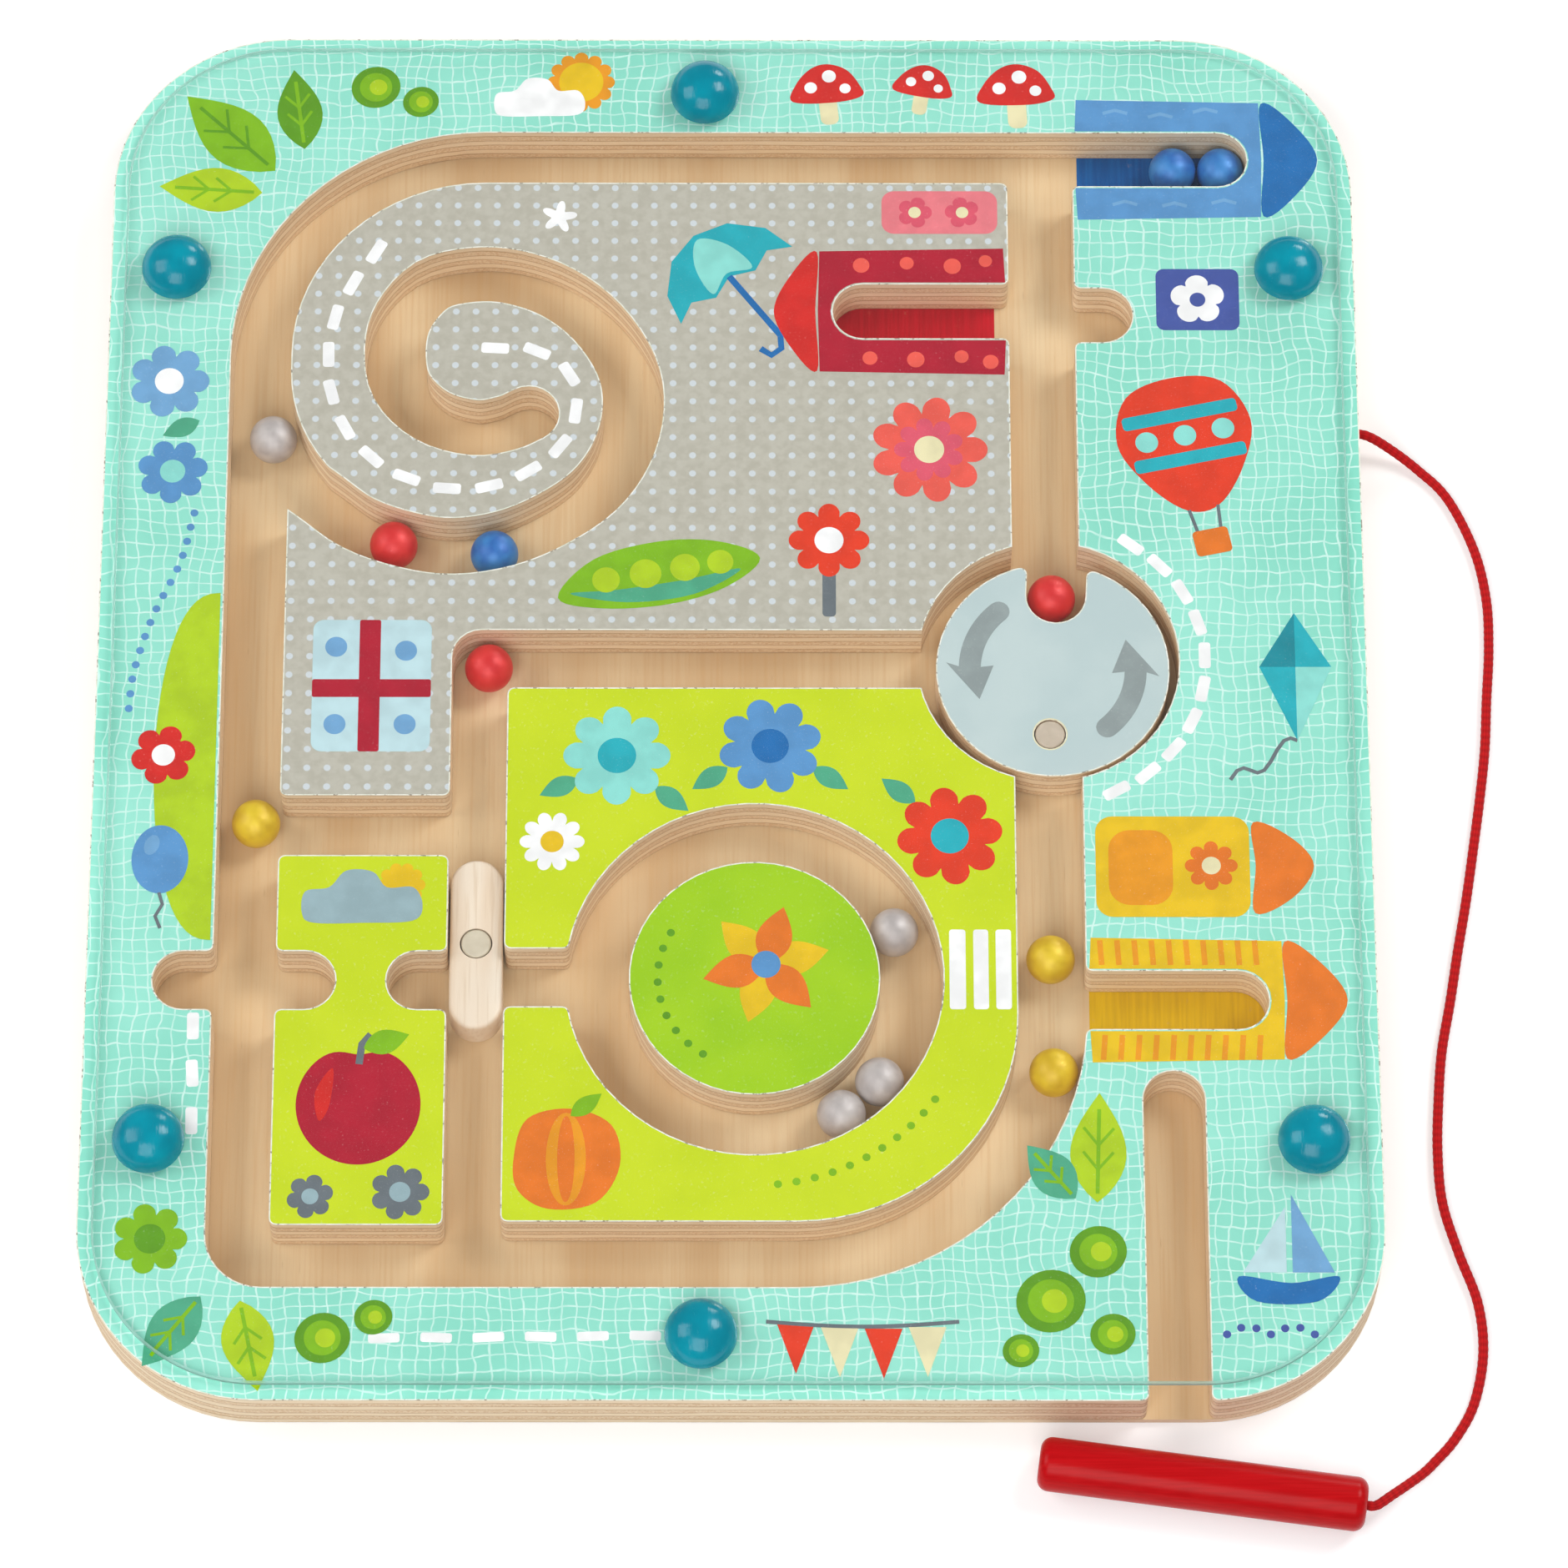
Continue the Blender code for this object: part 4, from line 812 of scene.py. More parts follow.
# %% Pictures on the islands
def spiral_pictures():
    """The films on the grey island."""
    canopy = [(-17, 0), (-15, 8), (-8.5, 14.7), (0, 17), (8.5, 14.7), (15, 8), (17, 0),
              (11.5, 3), (6, 0.4), (0, 3), (-6, 0.4), (-11.5, 3)]
    handle = stroke([(0, 3), (0, -17), (-2, -20), (-5, -20), (-6, -17)], 1.6)
    panel = blob((-6, 1.6), (-5, 10), (0, 15.6), (5, 10), (6, 1.6), (0, 4))
    films = placed([("teal", canopy, 1), ("aqua", panel, 2), ("deep_blue", handle, 1)], 1, 108, 38)
    films += garage_surround(66.5, 24.1, 101.0, 17.0, "crimson", "red", 11)
    for x, y, r in ((31, 113.4, 2), (42, 114, 1.7), (53, 113.2, 2.1), (61, 114.6, 1.6),
                    (33, 88.4, 1.8), (44, 88, 2.1), (55, 88.8, 1.7), (62, 87.4, 1.9)):
        films.append(("coral", oval(x, y, r), 2))
    films.append(("pink", block(36, 122, 64, 133.6, 3), 1))
    films += daisy(44, 127.8, 4.2, 5, "rose", "cream") + daisy(55.5, 127.8, 4.2, 5, "rose", "cream", 30)
    films += [("coral", flower(47, 64, 14, 9), 1), ("rose", flower(47, 64, 8.4, 9, 20), 2),
              ("cream", oval(47, 64, 3.6), 3)]
    pod = blob((-24, -2), (-14, 6.4), (2, 8.4), (16, 6), (25, 0), (16, -6), (2, -8.2), (-14, -6.6))
    shade = blob((-21, -1.5), (-8, -6), (8, -6.6), (20, -2), (6, -2.6), (-10, -2.4))
    peas = [("lime", oval(u, 0.6, 3.9 - abs(u) * 0.05), 3) for u in (-12, -2.5, 7, 15.5)]
    films += placed([("leaf", pod, 1), ("sea_green", shade, 2)] + peas, -18, 31, 10)
    films += daisy(23, 40, 9.6, 8, "vermilion", "white") + [("slate", block(21.4, 20, 24.6, 32, 1), 0)]
    films += [("ice", block(-99, -15, -71, 19, 2.5), 1), ("crimson", block(-88, -15, -83, 19, 0.5), 2),
              ("crimson", block(-99, -1, -71, 3.6, 0.5), 2)]
    films += [("sky", oval(x, y, 2.6), 2) for x, y in ((-93.5, 12), (-77, 11), (-93.5, -8), (-77, -8))]
    return films + [("white", petal_curve(-42, 126.5, lambda a: 0.72 + 0.28 * cos(5 * a), 4.4, 4.4, 8), 1)]


def ring_pictures():
    """The films on the ring island, with its zebra crossing."""
    films = [("sea_green", leaf(x, y, 10, 5, turn), 0) for x, y, turn in
             ((-36, -22, 205), (-18, -24, 322), (-1, -19, 214), (19, -19, 326), (43, -28, 142))]
    films += daisy(-27, -16, 12.6, 8, "aqua", "teal") + daisy(9, -13.5, 12.2, 8, "blue", "deep_blue", 15)
    films += daisy(51, -36.5, 12.4, 8, "vermilion", "teal", 8) + daisy(-42, -38, 7.6, 10, "white", "yellow")
    pumpkin = blob((-50, -117), (-47, -107.5), (-37, -105), (-27.6, -109), (-25.6, -119), (-31, -128),
                   (-42, -129.6), (-49, -125))
    films += [("orange", pumpkin, 1), ("amber", oval(-38, -117.4, 4.6, 11.4), 2),
              ("leaf", leaf(-37, -106.8, 9, 4.2, 38), 3), ("orange", oval(-38, -117.4, 2.0, 10.6), 3)]
    films += [("white", block(x0, -80.2, x1, -60.2, 0.7), 1)
              for x0, x1 in ((50.6, 54.4), (56.2, 59.7), (61.4, 65.0))]
    return films


def hub_pictures():
    """The films on the round island."""
    films = []
    for i in range(6):
        films.append((("yellow", "orange")[i % 2], leaf(8, -69, 15, 8.4, 60 * i + 14), 1 + i % 2))
    return films + [("blue", oval(8, -69, 3.4), 3)]


def notch_pictures():
    """The films on the notched island."""
    def dent(a):
        return 1 - 0.16 * exp(-(((a - pi / 2) / 0.35) ** 2))

    films = cloud(-86, -53, 28, "mist", 2) + [("yellow", flower(-77, -49, 5.6, 10, 0, 0.1), 1)]
    films += [("crimson", petal_curve(-86, -104, dent, 14.4, 14.8), 1),
              ("red", blob((-95, -108), (-96, -101), (-92, -95), (-92.6, -104)), 2),
              ("slate", stroke([(-86, -94), (-85.4, -89), (-83.4, -86.6)], 1.7), 2),
              ("leaf", leaf(-85, -90, 11, 6, 18), 2)]
    films += daisy(-76, -125.5, 6.8, 7, "slate", "mist")
    return films + daisy(-96.6, -126.6, 5.4, 6, "slate", "mist", 15)

# %% [markdown]
# The turning disc carries two curved arrows that say which way it goes. They are worked out from the disc's
# middle, so both are the same arrow, half a turn apart. A thin ring shows the paint's edge round the plug.

# %% Arrows on the turning disc
ARROW_RADIUS = 19.6
ARROW_HALF, ARROW_WING = 2.6, 5.6
ARROW_SHAFT, ARROW_HEAD, ARROW_TIP = 48, 46, 74
ARROW_LEAN = 0.6
PLUG_RING = (4.10, 3.86)


def curved_arrow(start):
    """An arrow along an arc, with a round tail and a broad head."""
    x, y, _ = middle("turntable_pin") / MM
    outer, inner = (arc(x, y, ARROW_RADIUS + side, start, start + ARROW_SHAFT, 12)
                    for side in (ARROW_HALF, -ARROW_HALF))
    head = [arc(x, y, ARROW_RADIUS + side, start + turn, start + turn, 1)[0]
            for side, turn in ((ARROW_WING, ARROW_HEAD), (-ARROW_LEAN, ARROW_TIP), (-ARROW_WING, ARROW_HEAD))]
    end_x, end_y = arc(x, y, ARROW_RADIUS, start, start, 1)[0]
    return outer + head + inner[::-1] + arc(end_x, end_y, ARROW_HALF, start - 180, start, 8)[1:-1]


def disc_pictures():
    """The films on the turning disc."""
    plug = middle("turntable_plug") / MM
    outer, inner = (oval(plug.x, plug.y, radius, count=48) for radius in PLUG_RING)
    return [("arrow_grey", curved_arrow(start), 1) for start in (-50, 130)] + [("cream", outer, 0, inner)]

# %% Turn the films into meshes
FILM_SEAT = 0.004 * MM
FILM_STEP = 0.014 * MM
ORDER_STEP = 0.0006 * MM


def film_mesh(name, films, top):
    """One mesh of thin closed films over a plate's top, and the inks that they need."""
    used = sorted({film[0] for film in films})
    shape = bmesh.new()
    for order, (ink, outline, layer, *holes) in enumerate(films):
        loops = [outline] + holes
        flat = [point for loop in loops for point in loop]
        levels = (top + FILM_SEAT, top + FILM_STEP * (layer + 1) + ORDER_STEP * order)
        under, over = ([shape.verts.new((x * MM, y * MM, z)) for x, y in flat] for z in levels)
        faces = []
        for a, b, c in geometry.tessellate_polygon([[Vector((x, y, 0)) for x, y in loop] for loop in loops]):
            faces.append(shape.faces.new((over[a], over[b], over[c])))
            faces.append(shape.faces.new((under[c], under[b], under[a])))
        first = 0
        for loop in loops:
            for i in range(len(loop)):
                j = first + (i + 1) % len(loop)
                faces.append(shape.faces.new((under[first + i], under[j], over[j], over[first + i])))
            first += len(loop)
        for face in faces:
            face.material_index = used.index(ink)
    return closed_mesh(name, shape), [inks[ink] for ink in used]


PICTURES = {
    "maze_frame": rim_pictures, "spiral_island": spiral_pictures, "ring_island": ring_pictures,
    "hub_island": hub_pictures, "notch_island": notch_pictures, "turntable": disc_pictures,
}
RIDES = {node: (body, slot) for node, body, slot, _ in PLATES}
for node, draw in PICTURES.items():
    films = draw()
    mesh, used = film_mesh(node + "_pictures", films, top_of(node))
    print(node, len(films), "films")
    make_piece(node + "_pictures", mesh, *RIDES[node], used)

# %% [markdown]
# ## Garage floors
# The floor of each garage is painted in its balls' colour, straight on the plywood base. The paint is worn
# thin by rolling balls, so some wood shows through.

# %% Painted garage floors
PAINT_LEVELS = (0.01 * MM, 0.04 * MM)
FLOORS = (
    ("red", (22, 91, 63.4, 111), "#D00A22", "#BC0619"),
    ("blue", (84, 132.5, 127, 152), "#0F62AC", "#0A539A"),
    ("yellow", (83.5, -88, 127, -67.6), "#ECC200", "#DEB200"),
)


def floor_paint(name, pale, deep):
    """Thin paint on birch, streaked along the grain."""
    material, tree, shader, place = start_material(name, **MATT)
    grain, wear = speckle(tree, place, (1.2, 0.05, 0.5)), speckle(tree, place, 0.35)
    colour = coated(tree, deep, (pale, grain), ("#C9A67C", wear, 0.66, 0.80, 0.3))
    finish(tree, shader, colour, grain, 0.06 * MM)
    return material


def level_ring(outline, z):
    """An outline in millimetres as a ring at a height in metres."""
    return [(x * MM, y * MM, z) for x, y in outline]


for colour, corners, pale, deep in FLOORS:
    name = colour + "_garage_floor"
    rings = [level_ring(block(*corners, 1.0), top_of("base_plate") + level) for level in PAINT_LEVELS]
    paint = floor_paint(colour + "_floor_paint", pale, deep)
    make_piece(name, loft(name, rings), "board", "base_ply", [paint])

# %% [markdown]
# ## Road lines and dotted trails
# Dashes and dots repeat along a line, which is work for Geometry Nodes: the line is resampled to an even
# spacing, one small mark is placed on each point along the line's direction, and the marks are made real.
# The studs are placed in the same way later, so both node trees share their start and their end.

# %% Node trees that make plain meshes
def new_tree(name, **takes):
    """A node tree with inputs of given names and kinds, and the sockets that carry them."""
    tree = bpy.data.node_groups.new(name, "GeometryNodeTree")
    for title, kind in takes.items():
        tree.interface.new_socket(title, in_out="INPUT", socket_type="NodeSocket" + kind)
    tree.interface.new_socket("Made", in_out="OUTPUT", socket_type="NodeSocketGeometry")
    return tree, put(tree, "NodeGroupInput").outputs


def close_tree(tree, instances, material):
    """End a node tree: its instances made real, in one material."""
    real = put(tree, "GeometryNodeRealizeInstances", {0: instances}).outputs[0]
    done = put(tree, "GeometryNodeSetMaterial", {"Geometry": real, "Material": material}).outputs[0]
    put(tree, "NodeGroupOutput", {0: done})
    return tree


def grown_mesh(name, seed_mesh, tree, **values):
    """The plain mesh that a node tree makes from a seed mesh."""
    holder = bpy.data.objects.new(name + "_seed", seed_mesh)
    bpy.context.scene.collection.objects.link(holder)
    modifier = holder.modifiers.new("grow", "NODES")
    modifier.node_group = tree
    for socket in tree.interface.items_tree:
        if socket.name in values:
            modifier[socket.identifier] = values[socket.name]
    made = bpy.data.meshes.new_from_object(holder.evaluated_get(bpy.context.evaluated_depsgraph_get()))
    made.name = name
    bpy.data.objects.remove(holder, do_unlink=True)
    return made


def marks_tree():
    """The tree: marks at an even spacing along a line, each turned a little by chance."""
    tree, given = new_tree("marks_along_a_line", Line="Geometry", Mark="Object", Spacing="Float",
                           Unevenness="Float", Seed="Int", Ink="Material")
    curve = put(tree, "GeometryNodeMeshToCurve", {0: given["Line"]}).outputs[0]
    even = put(tree, "GeometryNodeResampleCurve", {"Curve": curve, "Length": given["Spacing"]}, mode="LENGTH")
    tangent = put(tree, "GeometryNodeInputTangent").outputs[0]
    aligned = put(tree, "FunctionNodeAlignRotationToVector", {"Vector": tangent}, axis="X").outputs[0]
    mark = put(tree, "GeometryNodeObjectInfo", {"Object": given["Mark"]}, transform_space="ORIGINAL")
    laid = put(tree, "GeometryNodeInstanceOnPoints", {
        "Points": even.outputs[0], "Instance": mark.outputs["Geometry"], "Rotation": aligned}).outputs[0]
    least = put(tree, "ShaderNodeMath", {0: given["Unevenness"], 1: -1.0}, operation="MULTIPLY").outputs[0]
    chance = put(tree, "FunctionNodeRandomValue",
                 {"Min": least, "Max": given["Unevenness"], "Seed": given["Seed"]}, data_type="FLOAT")
    about = put(tree, "ShaderNodeCombineXYZ", {"Z": chance.outputs[1]}).outputs[0]
    turned = put(tree, "GeometryNodeRotateInstances", {"Instances": laid, "Rotation": about}).outputs[0]
    return close_tree(tree, turned, given["Ink"])

# %% Lay the road lines
MARK_LEVELS = (0.004 * MM, 0.02 * MM)
UNEVENNESS = 0.06
FIRST_SEED = 3


def mark_object(name, outline):
    """A small thin film about the origin, to be placed many times."""
    return bpy.data.objects.new(name, loft(name, [level_ring(outline, z) for z in MARK_LEVELS]))


def eased(points):
    """A smooth line through flat points."""
    return [tuple(p[:2]) for p in smooth_route([Vector((*point, 0)) for point in points], 10)]


MARKS = marks_tree()
long_dash = mark_object("long_dash", block(-3.6, -1.15, 3.6, 1.15, 0.6))
short_dash = mark_object("short_dash", block(-3.35, -1.4, 3.35, 1.4, 0.7))
round_dot = mark_object("round_dot", oval(0, 0, 0.95, count=16))
SPIRAL_ROAD = ((-86, 117), (-94.5, 102.5), (-97, 88), (-94.7, 74), (-88, 63.6), (-78, 56.6), (-67, 53.5),
               (-57, 54.5), (-48.7, 58.2), (-41, 65), (-37.4, 75), (-39.5, 84.6), (-47.5, 90.4), (-57, 91))
LEFT_TRAIL = ((-128, 47), (-131, 34), (-137, 20), (-141, 6), (-142, -4))
BOAT_TRAIL = ((113, -160), (118, -158), (123, -160), (128, -158), (133, -160))
ROADS = (
    ("spiral_road_dashes", "spiral_island", eased(SPIRAL_ROAD), short_dash, 9.9, "white"),
    ("front_rim_dashes", "maze_frame", [(-79, -161), (-19.5, -160.4)], long_dash, 10.6, "white"),
    ("left_rim_dashes", "maze_frame", [(-124.6, -84.5), (-124.3, -108)], short_dash, 8.6, "white"),
    ("turning_dashes", "maze_frame", arc(75.5, 8.2, 36.2, 58, -66), short_dash, 8.7, "white"),
    ("left_trail_dots", "maze_frame", eased(LEFT_TRAIL), round_dot, 3.6, "blue"),
    ("boat_trail_dots", "maze_frame", eased(BOAT_TRAIL), round_dot, 3.2, "indigo"),
    ("ring_trail_dots", "ring_island", arc(5.35, -72.3, 51.5, -84, -36), round_dot, 4.1, "leaf"),
    ("hub_trail_dots", "hub_island", arc(5.35, -72.3, 22.5, 150, 238), round_dot, 3.9, "deep_leaf"),
)
for seed, (name, plate, points, mark, spacing, ink) in enumerate(ROADS, FIRST_SEED):
    line = bpy.data.meshes.new(name + "_line")
    line.from_pydata(level_ring(points, top_of(plate)), [(i, i + 1) for i in range(len(points) - 1)], [])
    made = grown_mesh(name, line, MARKS, Mark=mark, Spacing=spacing * MM, Unevenness=UNEVENNESS, Seed=seed,
                      Ink=inks[ink])
    make_piece(name, made, *RIDES[plate])

# %% [markdown]
# ## Lock slider and steel plugs
# A birch bar slides in the lock lane, and a steel plug in it follows the wand's magnet. The bar is a loft of
# rounded outlines, with its plug's recess sunk into the top. The turning disc has the same plug.

# %% The lock slider
SLIDER_EDGE = 1.1 * MM
RECESS = 3.8 * MM
RECESS_DEPTH = 4.0 * MM
slider_low, slider_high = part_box("lock_slider")
slider_middle = middle("lock_slider")


def bar_ring(inset, z, count=96):
    """A round-ended outline drawn in by an inset."""
    radius = (slider_high.x - slider_low.x) / 2 - inset
    straight = (slider_high.y - slider_low.y) / 2 - inset - radius
    ring = []
    for i in range(count):
        a = tau * i / count
        y = slider_middle.y + copysign(straight, sin(a)) if i % (count // 2) else slider_middle.y
        ring.append((slider_middle.x + radius * cos(a), y + radius * sin(a), z))
    return ring


def slider_mesh():
    """The bar from its underside, round its edges and down into the recess."""
    rings = [bar_ring(SLIDER_EDGE * (1 - sin(a)), slider_low.z + SLIDER_EDGE * (1 - cos(a)))
             for a in quarter(5)]
    rings += [bar_ring(SLIDER_EDGE * (1 - cos(a)), slider_high.z - SLIDER_EDGE * (1 - sin(a)))
              for a in quarter(5)]
    rings += [round_ring(slider_middle, RECESS, z, 96) for z in (slider_high.z, slider_high.z - RECESS_DEPTH)]
    return loft("lock_slider_bar", rings)


def sanded_birch():
    """Solid birch, sanded: pale, nearly white, with a faint straight grain."""
    material, tree, shader, place = start_material("sanded_birch", 0.55)
    grain, figure = speckle(tree, place, (1.3, 0.05, 0.6)), speckle(tree, place, (0.12, 0.02, 0.1), 2.0)
    colour = coated(tree, "#E2CBB0", ("#F0E2CF", figure), ("#CDB08C", grain, 0.5, 0.75, 0.4))
    finish(tree, shader, colour, grain, 0.04 * MM)
    return material


make_piece("lock_slider_bar", slider_mesh(), "lock_slider", "birch", [sanded_birch()], ["lock_slider"])

# %% Steel plugs, pin and magnet
PLUG_CHAMFER = 0.25 * MM


def turned_steel(name, pale, dark, metallic):
    """Faced steel, dulled by handling: soft mottling in its sheen."""
    material, tree, shader, place = start_material(name, 0.45, Metallic=metallic)
    mottle = speckle(tree, place, 0.5)
    colour = put(tree, "ShaderNodeMix", {0: mottle, 6: dark, 7: pale}, data_type="RGBA")
    finish(tree, shader, colour.outputs[2])
    uneven_gloss(tree, shader, mottle, 0.2, 0.8, 0.38, 0.55)
    return material


worn_steel = turned_steel("worn_plug_steel", "#CDBFAE", "#B3A48F", 0.30)
clean_steel = turned_steel("clean_plug_steel", "#DDD4BF", "#C6BAA2", 0.25)
bright_steel = turned_steel("zinc_plated_steel", "#D2D0CB", "#B5B2AC", 1.0)
for node, body, steel in (("turntable_plug", "turntable", worn_steel),
                          ("slider_plug", "lock_slider", clean_steel)):
    low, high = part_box(node)
    radius = (high.x - low.x) / 2
    profile = ((radius, low.z), (radius, high.z - PLUG_CHAMFER), (radius - PLUG_CHAMFER, high.z))
    face = loft(node + "_face", [round_ring(middle(node), reach, z) for reach, z in profile])
    make_piece(node + "_face", face, body, "bright_steel", [steel], [node])
for node in ("turntable_pin", "wand_magnet"):
    for slot in nodes[node].material_slots:
        slot.material = bright_steel

# %% [markdown]
# ## Balls
# Thirteen steel balls, 11.4 mm across, sprayed in pearl colours: four silver, three red, three blue and
# three yellow. Pearl paint is satin: a broad soft highlight with fine flakes in it.

# %% Pearl-sprayed steel balls
BALL_RADIUS = 5.7 * MM
PEARLS = {
    "silver": ("#B0A8A6", "#C6BFBC"), "red": ("#D01216", "#E02C2A"),
    "blue": ("#1A62B2", "#3484CA"), "yellow": ("#D2AC00", "#E6C61C"),
}


def pearl_paint(colour, deep, pale):
    """Pearl spray on steel: satin, with flakes that vary the sheen."""
    material, tree, shader, place = start_material(colour + "_pearl_paint", 0.42, Metallic=0.12)
    flakes, patches = speckle(tree, place, 3.0, 2.0), speckle(tree, place, 0.25, 2.0)
    finish(tree, shader, coated(tree, deep, (pale, patches), (pale, flakes, 0.55, 0.75, 0.35)))
    uneven_gloss(tree, shader, flakes, 0.3, 0.7, 0.36, 0.50)
    return material


def ball_mesh(name, centre):
    """A round ball with evenly spread facets, smooth shaded."""
    shape = bmesh.new()
    bmesh.ops.create_icosphere(shape, subdivisions=4, radius=BALL_RADIUS)
    bmesh.ops.translate(shape, verts=shape.verts, vec=centre)
    mesh = closed_mesh(name, shape)
    mesh.shade_smooth()
    return mesh


for colour, tones in PEARLS.items():
    paint = pearl_paint(colour, *tones)
    for node in sorted(name for name in nodes if name.startswith(colour + "_ball")):
        made = ball_mesh(node + "_pearl", middle(node))
        make_piece(node + "_pearl", made, node, colour + "_ball", [paint], [node])

# %% [markdown]
# ## Studs
# Six turquoise studs pin the sheet down. They are moulded ABS: a high glossy dome with a small flat foot.
# One dome is turned once, and Geometry Nodes places it on all six points.

# %% The six studs
STUD_RADIUS = 8.35 * MM
STUD_HEIGHT = 7.0 * MM
STUD_FOOT = 0.3 * MM
STUD_TOP = 0.05 * MM
PEG_RADIUS = 3.0 * MM
PEG_DEPTH = 10.0 * MM


def stud_mesh():
    """One stud about the origin: peg, foot and dome."""
    profile = [(PEG_RADIUS, -PEG_DEPTH), (PEG_RADIUS, 0), (STUD_RADIUS - STUD_FOOT, 0),
               (STUD_RADIUS, STUD_FOOT)]
    for a in quarter(16)[1:-1]:
        profile.append((STUD_RADIUS * cos(a), STUD_FOOT + (STUD_HEIGHT - STUD_FOOT) * sin(a)))
    profile.append((STUD_TOP, STUD_HEIGHT))
    return loft("stud", [round_ring((0, 0), radius, z) for radius, z in profile])


def glossy_abs():
    """Turquoise ABS: moulded, polished by the mould, with faint handling marks."""
    material, tree, shader, place = start_material("turquoise_abs", 0.16, Specular_IOR_Level=0.3)
    patches, marks = speckle(tree, place, 0.12, 2.0), speckle(tree, place, (0.7, 0.25, 0.7))
    colour = coated(tree, "#008398", ("#0095AA", patches))
    finish(tree, shader, colour, speckle(tree, place, (2.4, 0.30, 0.6), 2.0), 0.10 * MM)
    uneven_gloss(tree, shader, marks, 0.45, 0.75, 0.14, 0.28)
    return material


def studs_tree():
    """The tree: one shape on every point."""
    tree, given = new_tree("studs_on_points", Points="Geometry", Stud="Object", Plastic="Material")
    stud = put(tree, "GeometryNodeObjectInfo", {"Object": given["Stud"]}, transform_space="ORIGINAL")
    seated = put(tree, "GeometryNodeInstanceOnPoints",
                 {"Points": given["Points"], "Instance": stud.outputs["Geometry"]}).outputs[0]
    return close_tree(tree, seated, given["Plastic"])


stud_nodes = sorted(name for name in nodes if name.startswith("stud_"))
seats = [(*middle(node)[:2], top_of(node) - STUD_HEIGHT) for node in stud_nodes]
seat_mesh = bpy.data.meshes.new("stud_seats")
seat_mesh.from_pydata(seats, [], [])
one_stud = bpy.data.objects.new("one_stud", stud_mesh())
made = grown_mesh("studs", seat_mesh, studs_tree(), Stud=one_stud, Plastic=glossy_abs())
make_piece("studs", made, "board", "turquoise_plastic", [], stud_nodes)

# %% [markdown]
# ## The clear sheet
# A sheet of acrylic, 2 mm thick, keeps the balls in. Acrylic bends light less than glass and is a touch
# green at its scraped edge, whose colour is deepened to teal as painted shade. Light from the lamps has to
# reach the prints below, so for shadow rays and diffuse rays the sheet is simply clear.

# %% Acrylic
ACRYLIC_IOR = 1.49
WHITE = (1.0, 1.0, 1.0, 1.0)


def any_ray(tree, *kinds):
    """1 for rays of any of these kinds, and 0 for other rays."""
    path = put(tree, "ShaderNodeLightPath").outputs
    share = path[kinds[0]]
    for kind in kinds[1:]:
        share = put(tree, "ShaderNodeMath", {0: share, 1: path[kind]}, operation="MAXIMUM").outputs[0]
    return share


def clear_acrylic():
    """Cast acrylic: smooth, colourless, open to the light of lamps."""
    material, tree, shader, _ = start_material("clear_cast_acrylic", 0.02, IOR=ACRYLIC_IOR,
                                               Transmission_Weight=1.0, Base_Color=WHITE)
    open_rays = any_ray(tree, "Is Shadow Ray", "Is Diffuse Ray")
    clear = put(tree, "ShaderNodeBsdfTransparent", {"Color": (0.985, 0.99, 0.988, 1.0)}).outputs[0]
    both = put(tree, "ShaderNodeMixShader", {0: open_rays, 1: shader.outputs[0], 2: clear}).outputs[0]
    tree.links.new(both, tree.nodes["Material Output"].inputs["Surface"])
    return material


def frosted_edge():
    """The cut, scraped edge: slightly frosted to gather light as a pale line; darker teal is painted shade.
    """
    material, tree, shader, place = start_material("scraped_acrylic_edge", 0.4, IOR=ACRYLIC_IOR,
                                                   Transmission_Weight=0.6)
    scrape_and_painted_shade = speckle(tree, place, (0.8, 0.8, 6.0))
    # The pale tone is the scraped edge. The darker teal is its green tint, deepened as painted shade.
    colour = put(tree, "ShaderNodeMix", {0: scrape_and_painted_shade, 6: "#86C9BC", 7: "#D9F6EE"}, data_type="RGBA")
    finish(tree, shader, colour.outputs[2])
    return material


COVER_CORNER = 38.5 * MM
COVER_EDGE = 0.45 * MM
FLAT = 0.99
cover_low, cover_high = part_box("cover_sheet")


def cover_ring(inset, z):
    """The sheet's outline with its round corners, drawn in by an inset."""
    outline = block(cover_low.x + inset, cover_low.y + inset, cover_high.x - inset, cover_high.y - inset,
                    COVER_CORNER - inset, steps=24)
    return [(x, y, z) for x, y in outline]


cover_mesh = loft("cover_pane", [
    cover_ring(COVER_EDGE, cover_low.z), cover_ring(0, cover_low.z + COVER_EDGE),
    cover_ring(0, cover_high.z - COVER_EDGE), cover_ring(COVER_EDGE, cover_high.z)])
for face in cover_mesh.polygons:
    face.material_index = int(abs(face.normal.z) < FLAT)
make_piece("cover_pane", cover_mesh, "board", "clear_acrylic",
           [clear_acrylic(), frosted_edge()], ["cover_sheet"])

# %% [markdown]
# ## Stage
# A white table and soft light. The floor takes the object's shadow, and a little light of its own for the
# camera makes it white, as a photographer's sweep is.

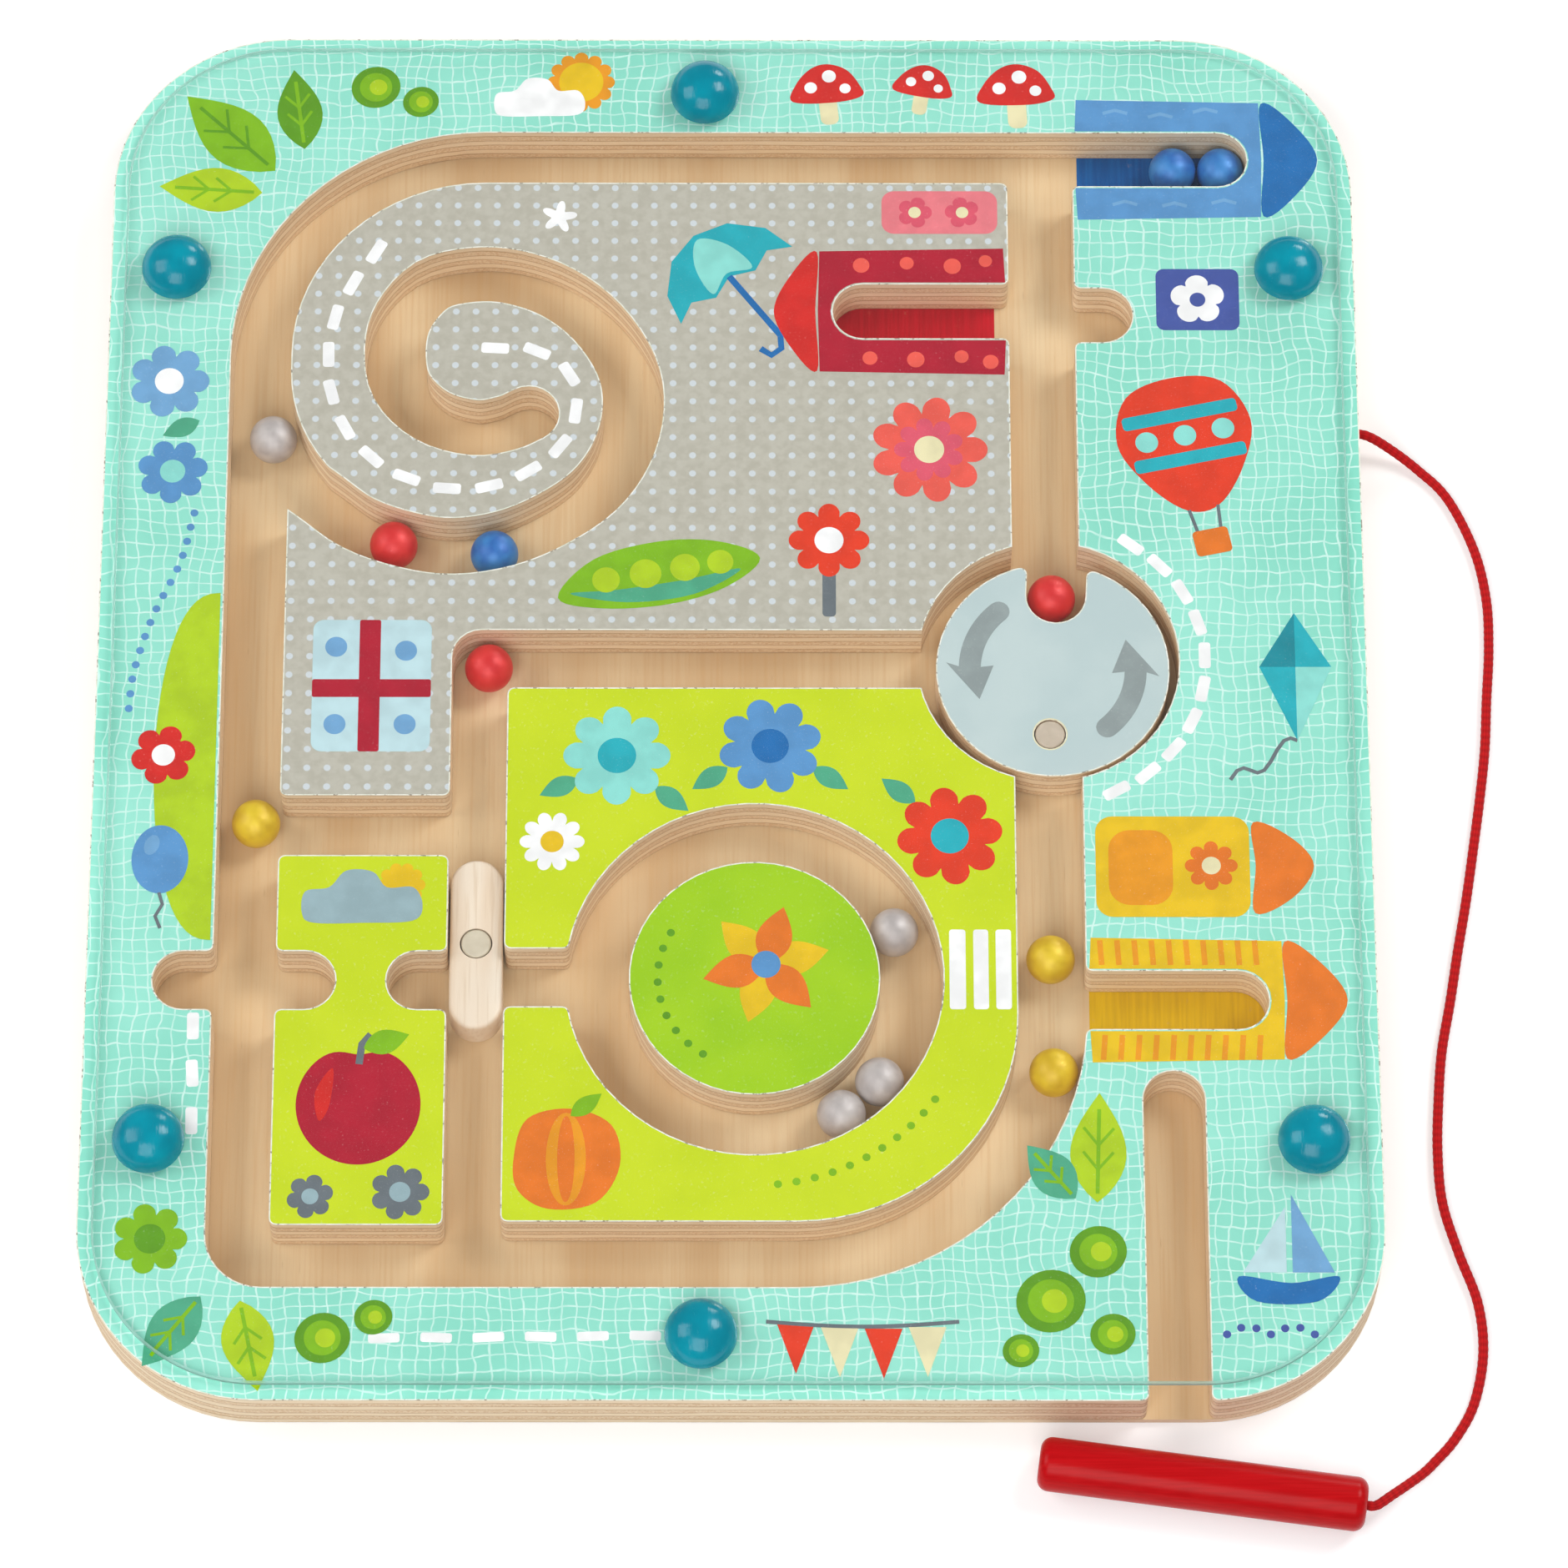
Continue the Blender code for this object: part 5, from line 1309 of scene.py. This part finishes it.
# %% Floor
FLOOR_HALF = 1.5
FLOOR_LEVEL = -0.1 * MM
FLOOR_GREY = (0.80, 0.80, 0.80, 1.0)
FLOOR_GLOW = 0.30


def white_sweep():
    """A white sweep that still takes shadows."""
    material, tree, shader, _ = start_material(
        "white_sweep", 0.9, Base_Color=FLOOR_GREY, Specular_IOR_Level=0.0)
    seen = any_ray(tree, "Is Camera Ray", "Is Glossy Ray", "Is Transmission Ray")
    glow = put(tree, "ShaderNodeMath", {0: seen, 1: FLOOR_GLOW}, operation="MULTIPLY").outputs[0]
    light = put(tree, "ShaderNodeEmission", {"Strength": glow}).outputs[0]
    both = put(tree, "ShaderNodeAddShader", {0: shader.outputs[0], 1: light}).outputs[0]
    tree.links.new(both, tree.nodes["Material Output"].inputs["Surface"])
    return material


floor_mesh = bpy.data.meshes.new("floor")
corners = [(x * FLOOR_HALF, y * FLOOR_HALF, FLOOR_LEVEL) for x, y in ((-1, -1), (1, -1), (1, 1), (-1, 1))]
floor_mesh.from_pydata(corners, [], [(0, 1, 2, 3)])
floor_mesh.materials.append(white_sweep())
floor = bpy.data.objects.new("floor", floor_mesh)
bpy.context.scene.collection.objects.link(floor)

# %% Lamps and world
LAMPS = (
    ("key_softbox", (1.10, 0.60, 1.40), 0.7, 13.6),
    ("front_softbox", (-0.25, -1.30, 1.50), 1.3, 19.8),
    ("left_softbox", (-1.45, 0.10, 1.35), 1.1, 13.5),
    ("rim_softbox", (0.75, 1.50, 0.60), 0.35, 4.5),
)
WORLD_STRENGTH = 0.26

for name, place, size, power in LAMPS:
    lamp = bpy.data.lights.new(name, "AREA")
    lamp.size = size
    lamp.energy = power
    softbox = bpy.data.objects.new(name, lamp)
    facing = Vector(place).to_track_quat("Z", "Y").to_matrix().to_4x4()
    softbox.matrix_world = Matrix.Translation(place) @ facing
    bpy.context.scene.collection.objects.link(softbox)
    print(name, power, "watts")

world = bpy.data.worlds.new("studio")
bpy.context.scene.world = world
world.use_nodes = True
sky = world.node_tree.nodes["Background"]
sky.inputs["Strength"].default_value = WORLD_STRENGTH
sky.inputs["Color"].default_value = WHITE
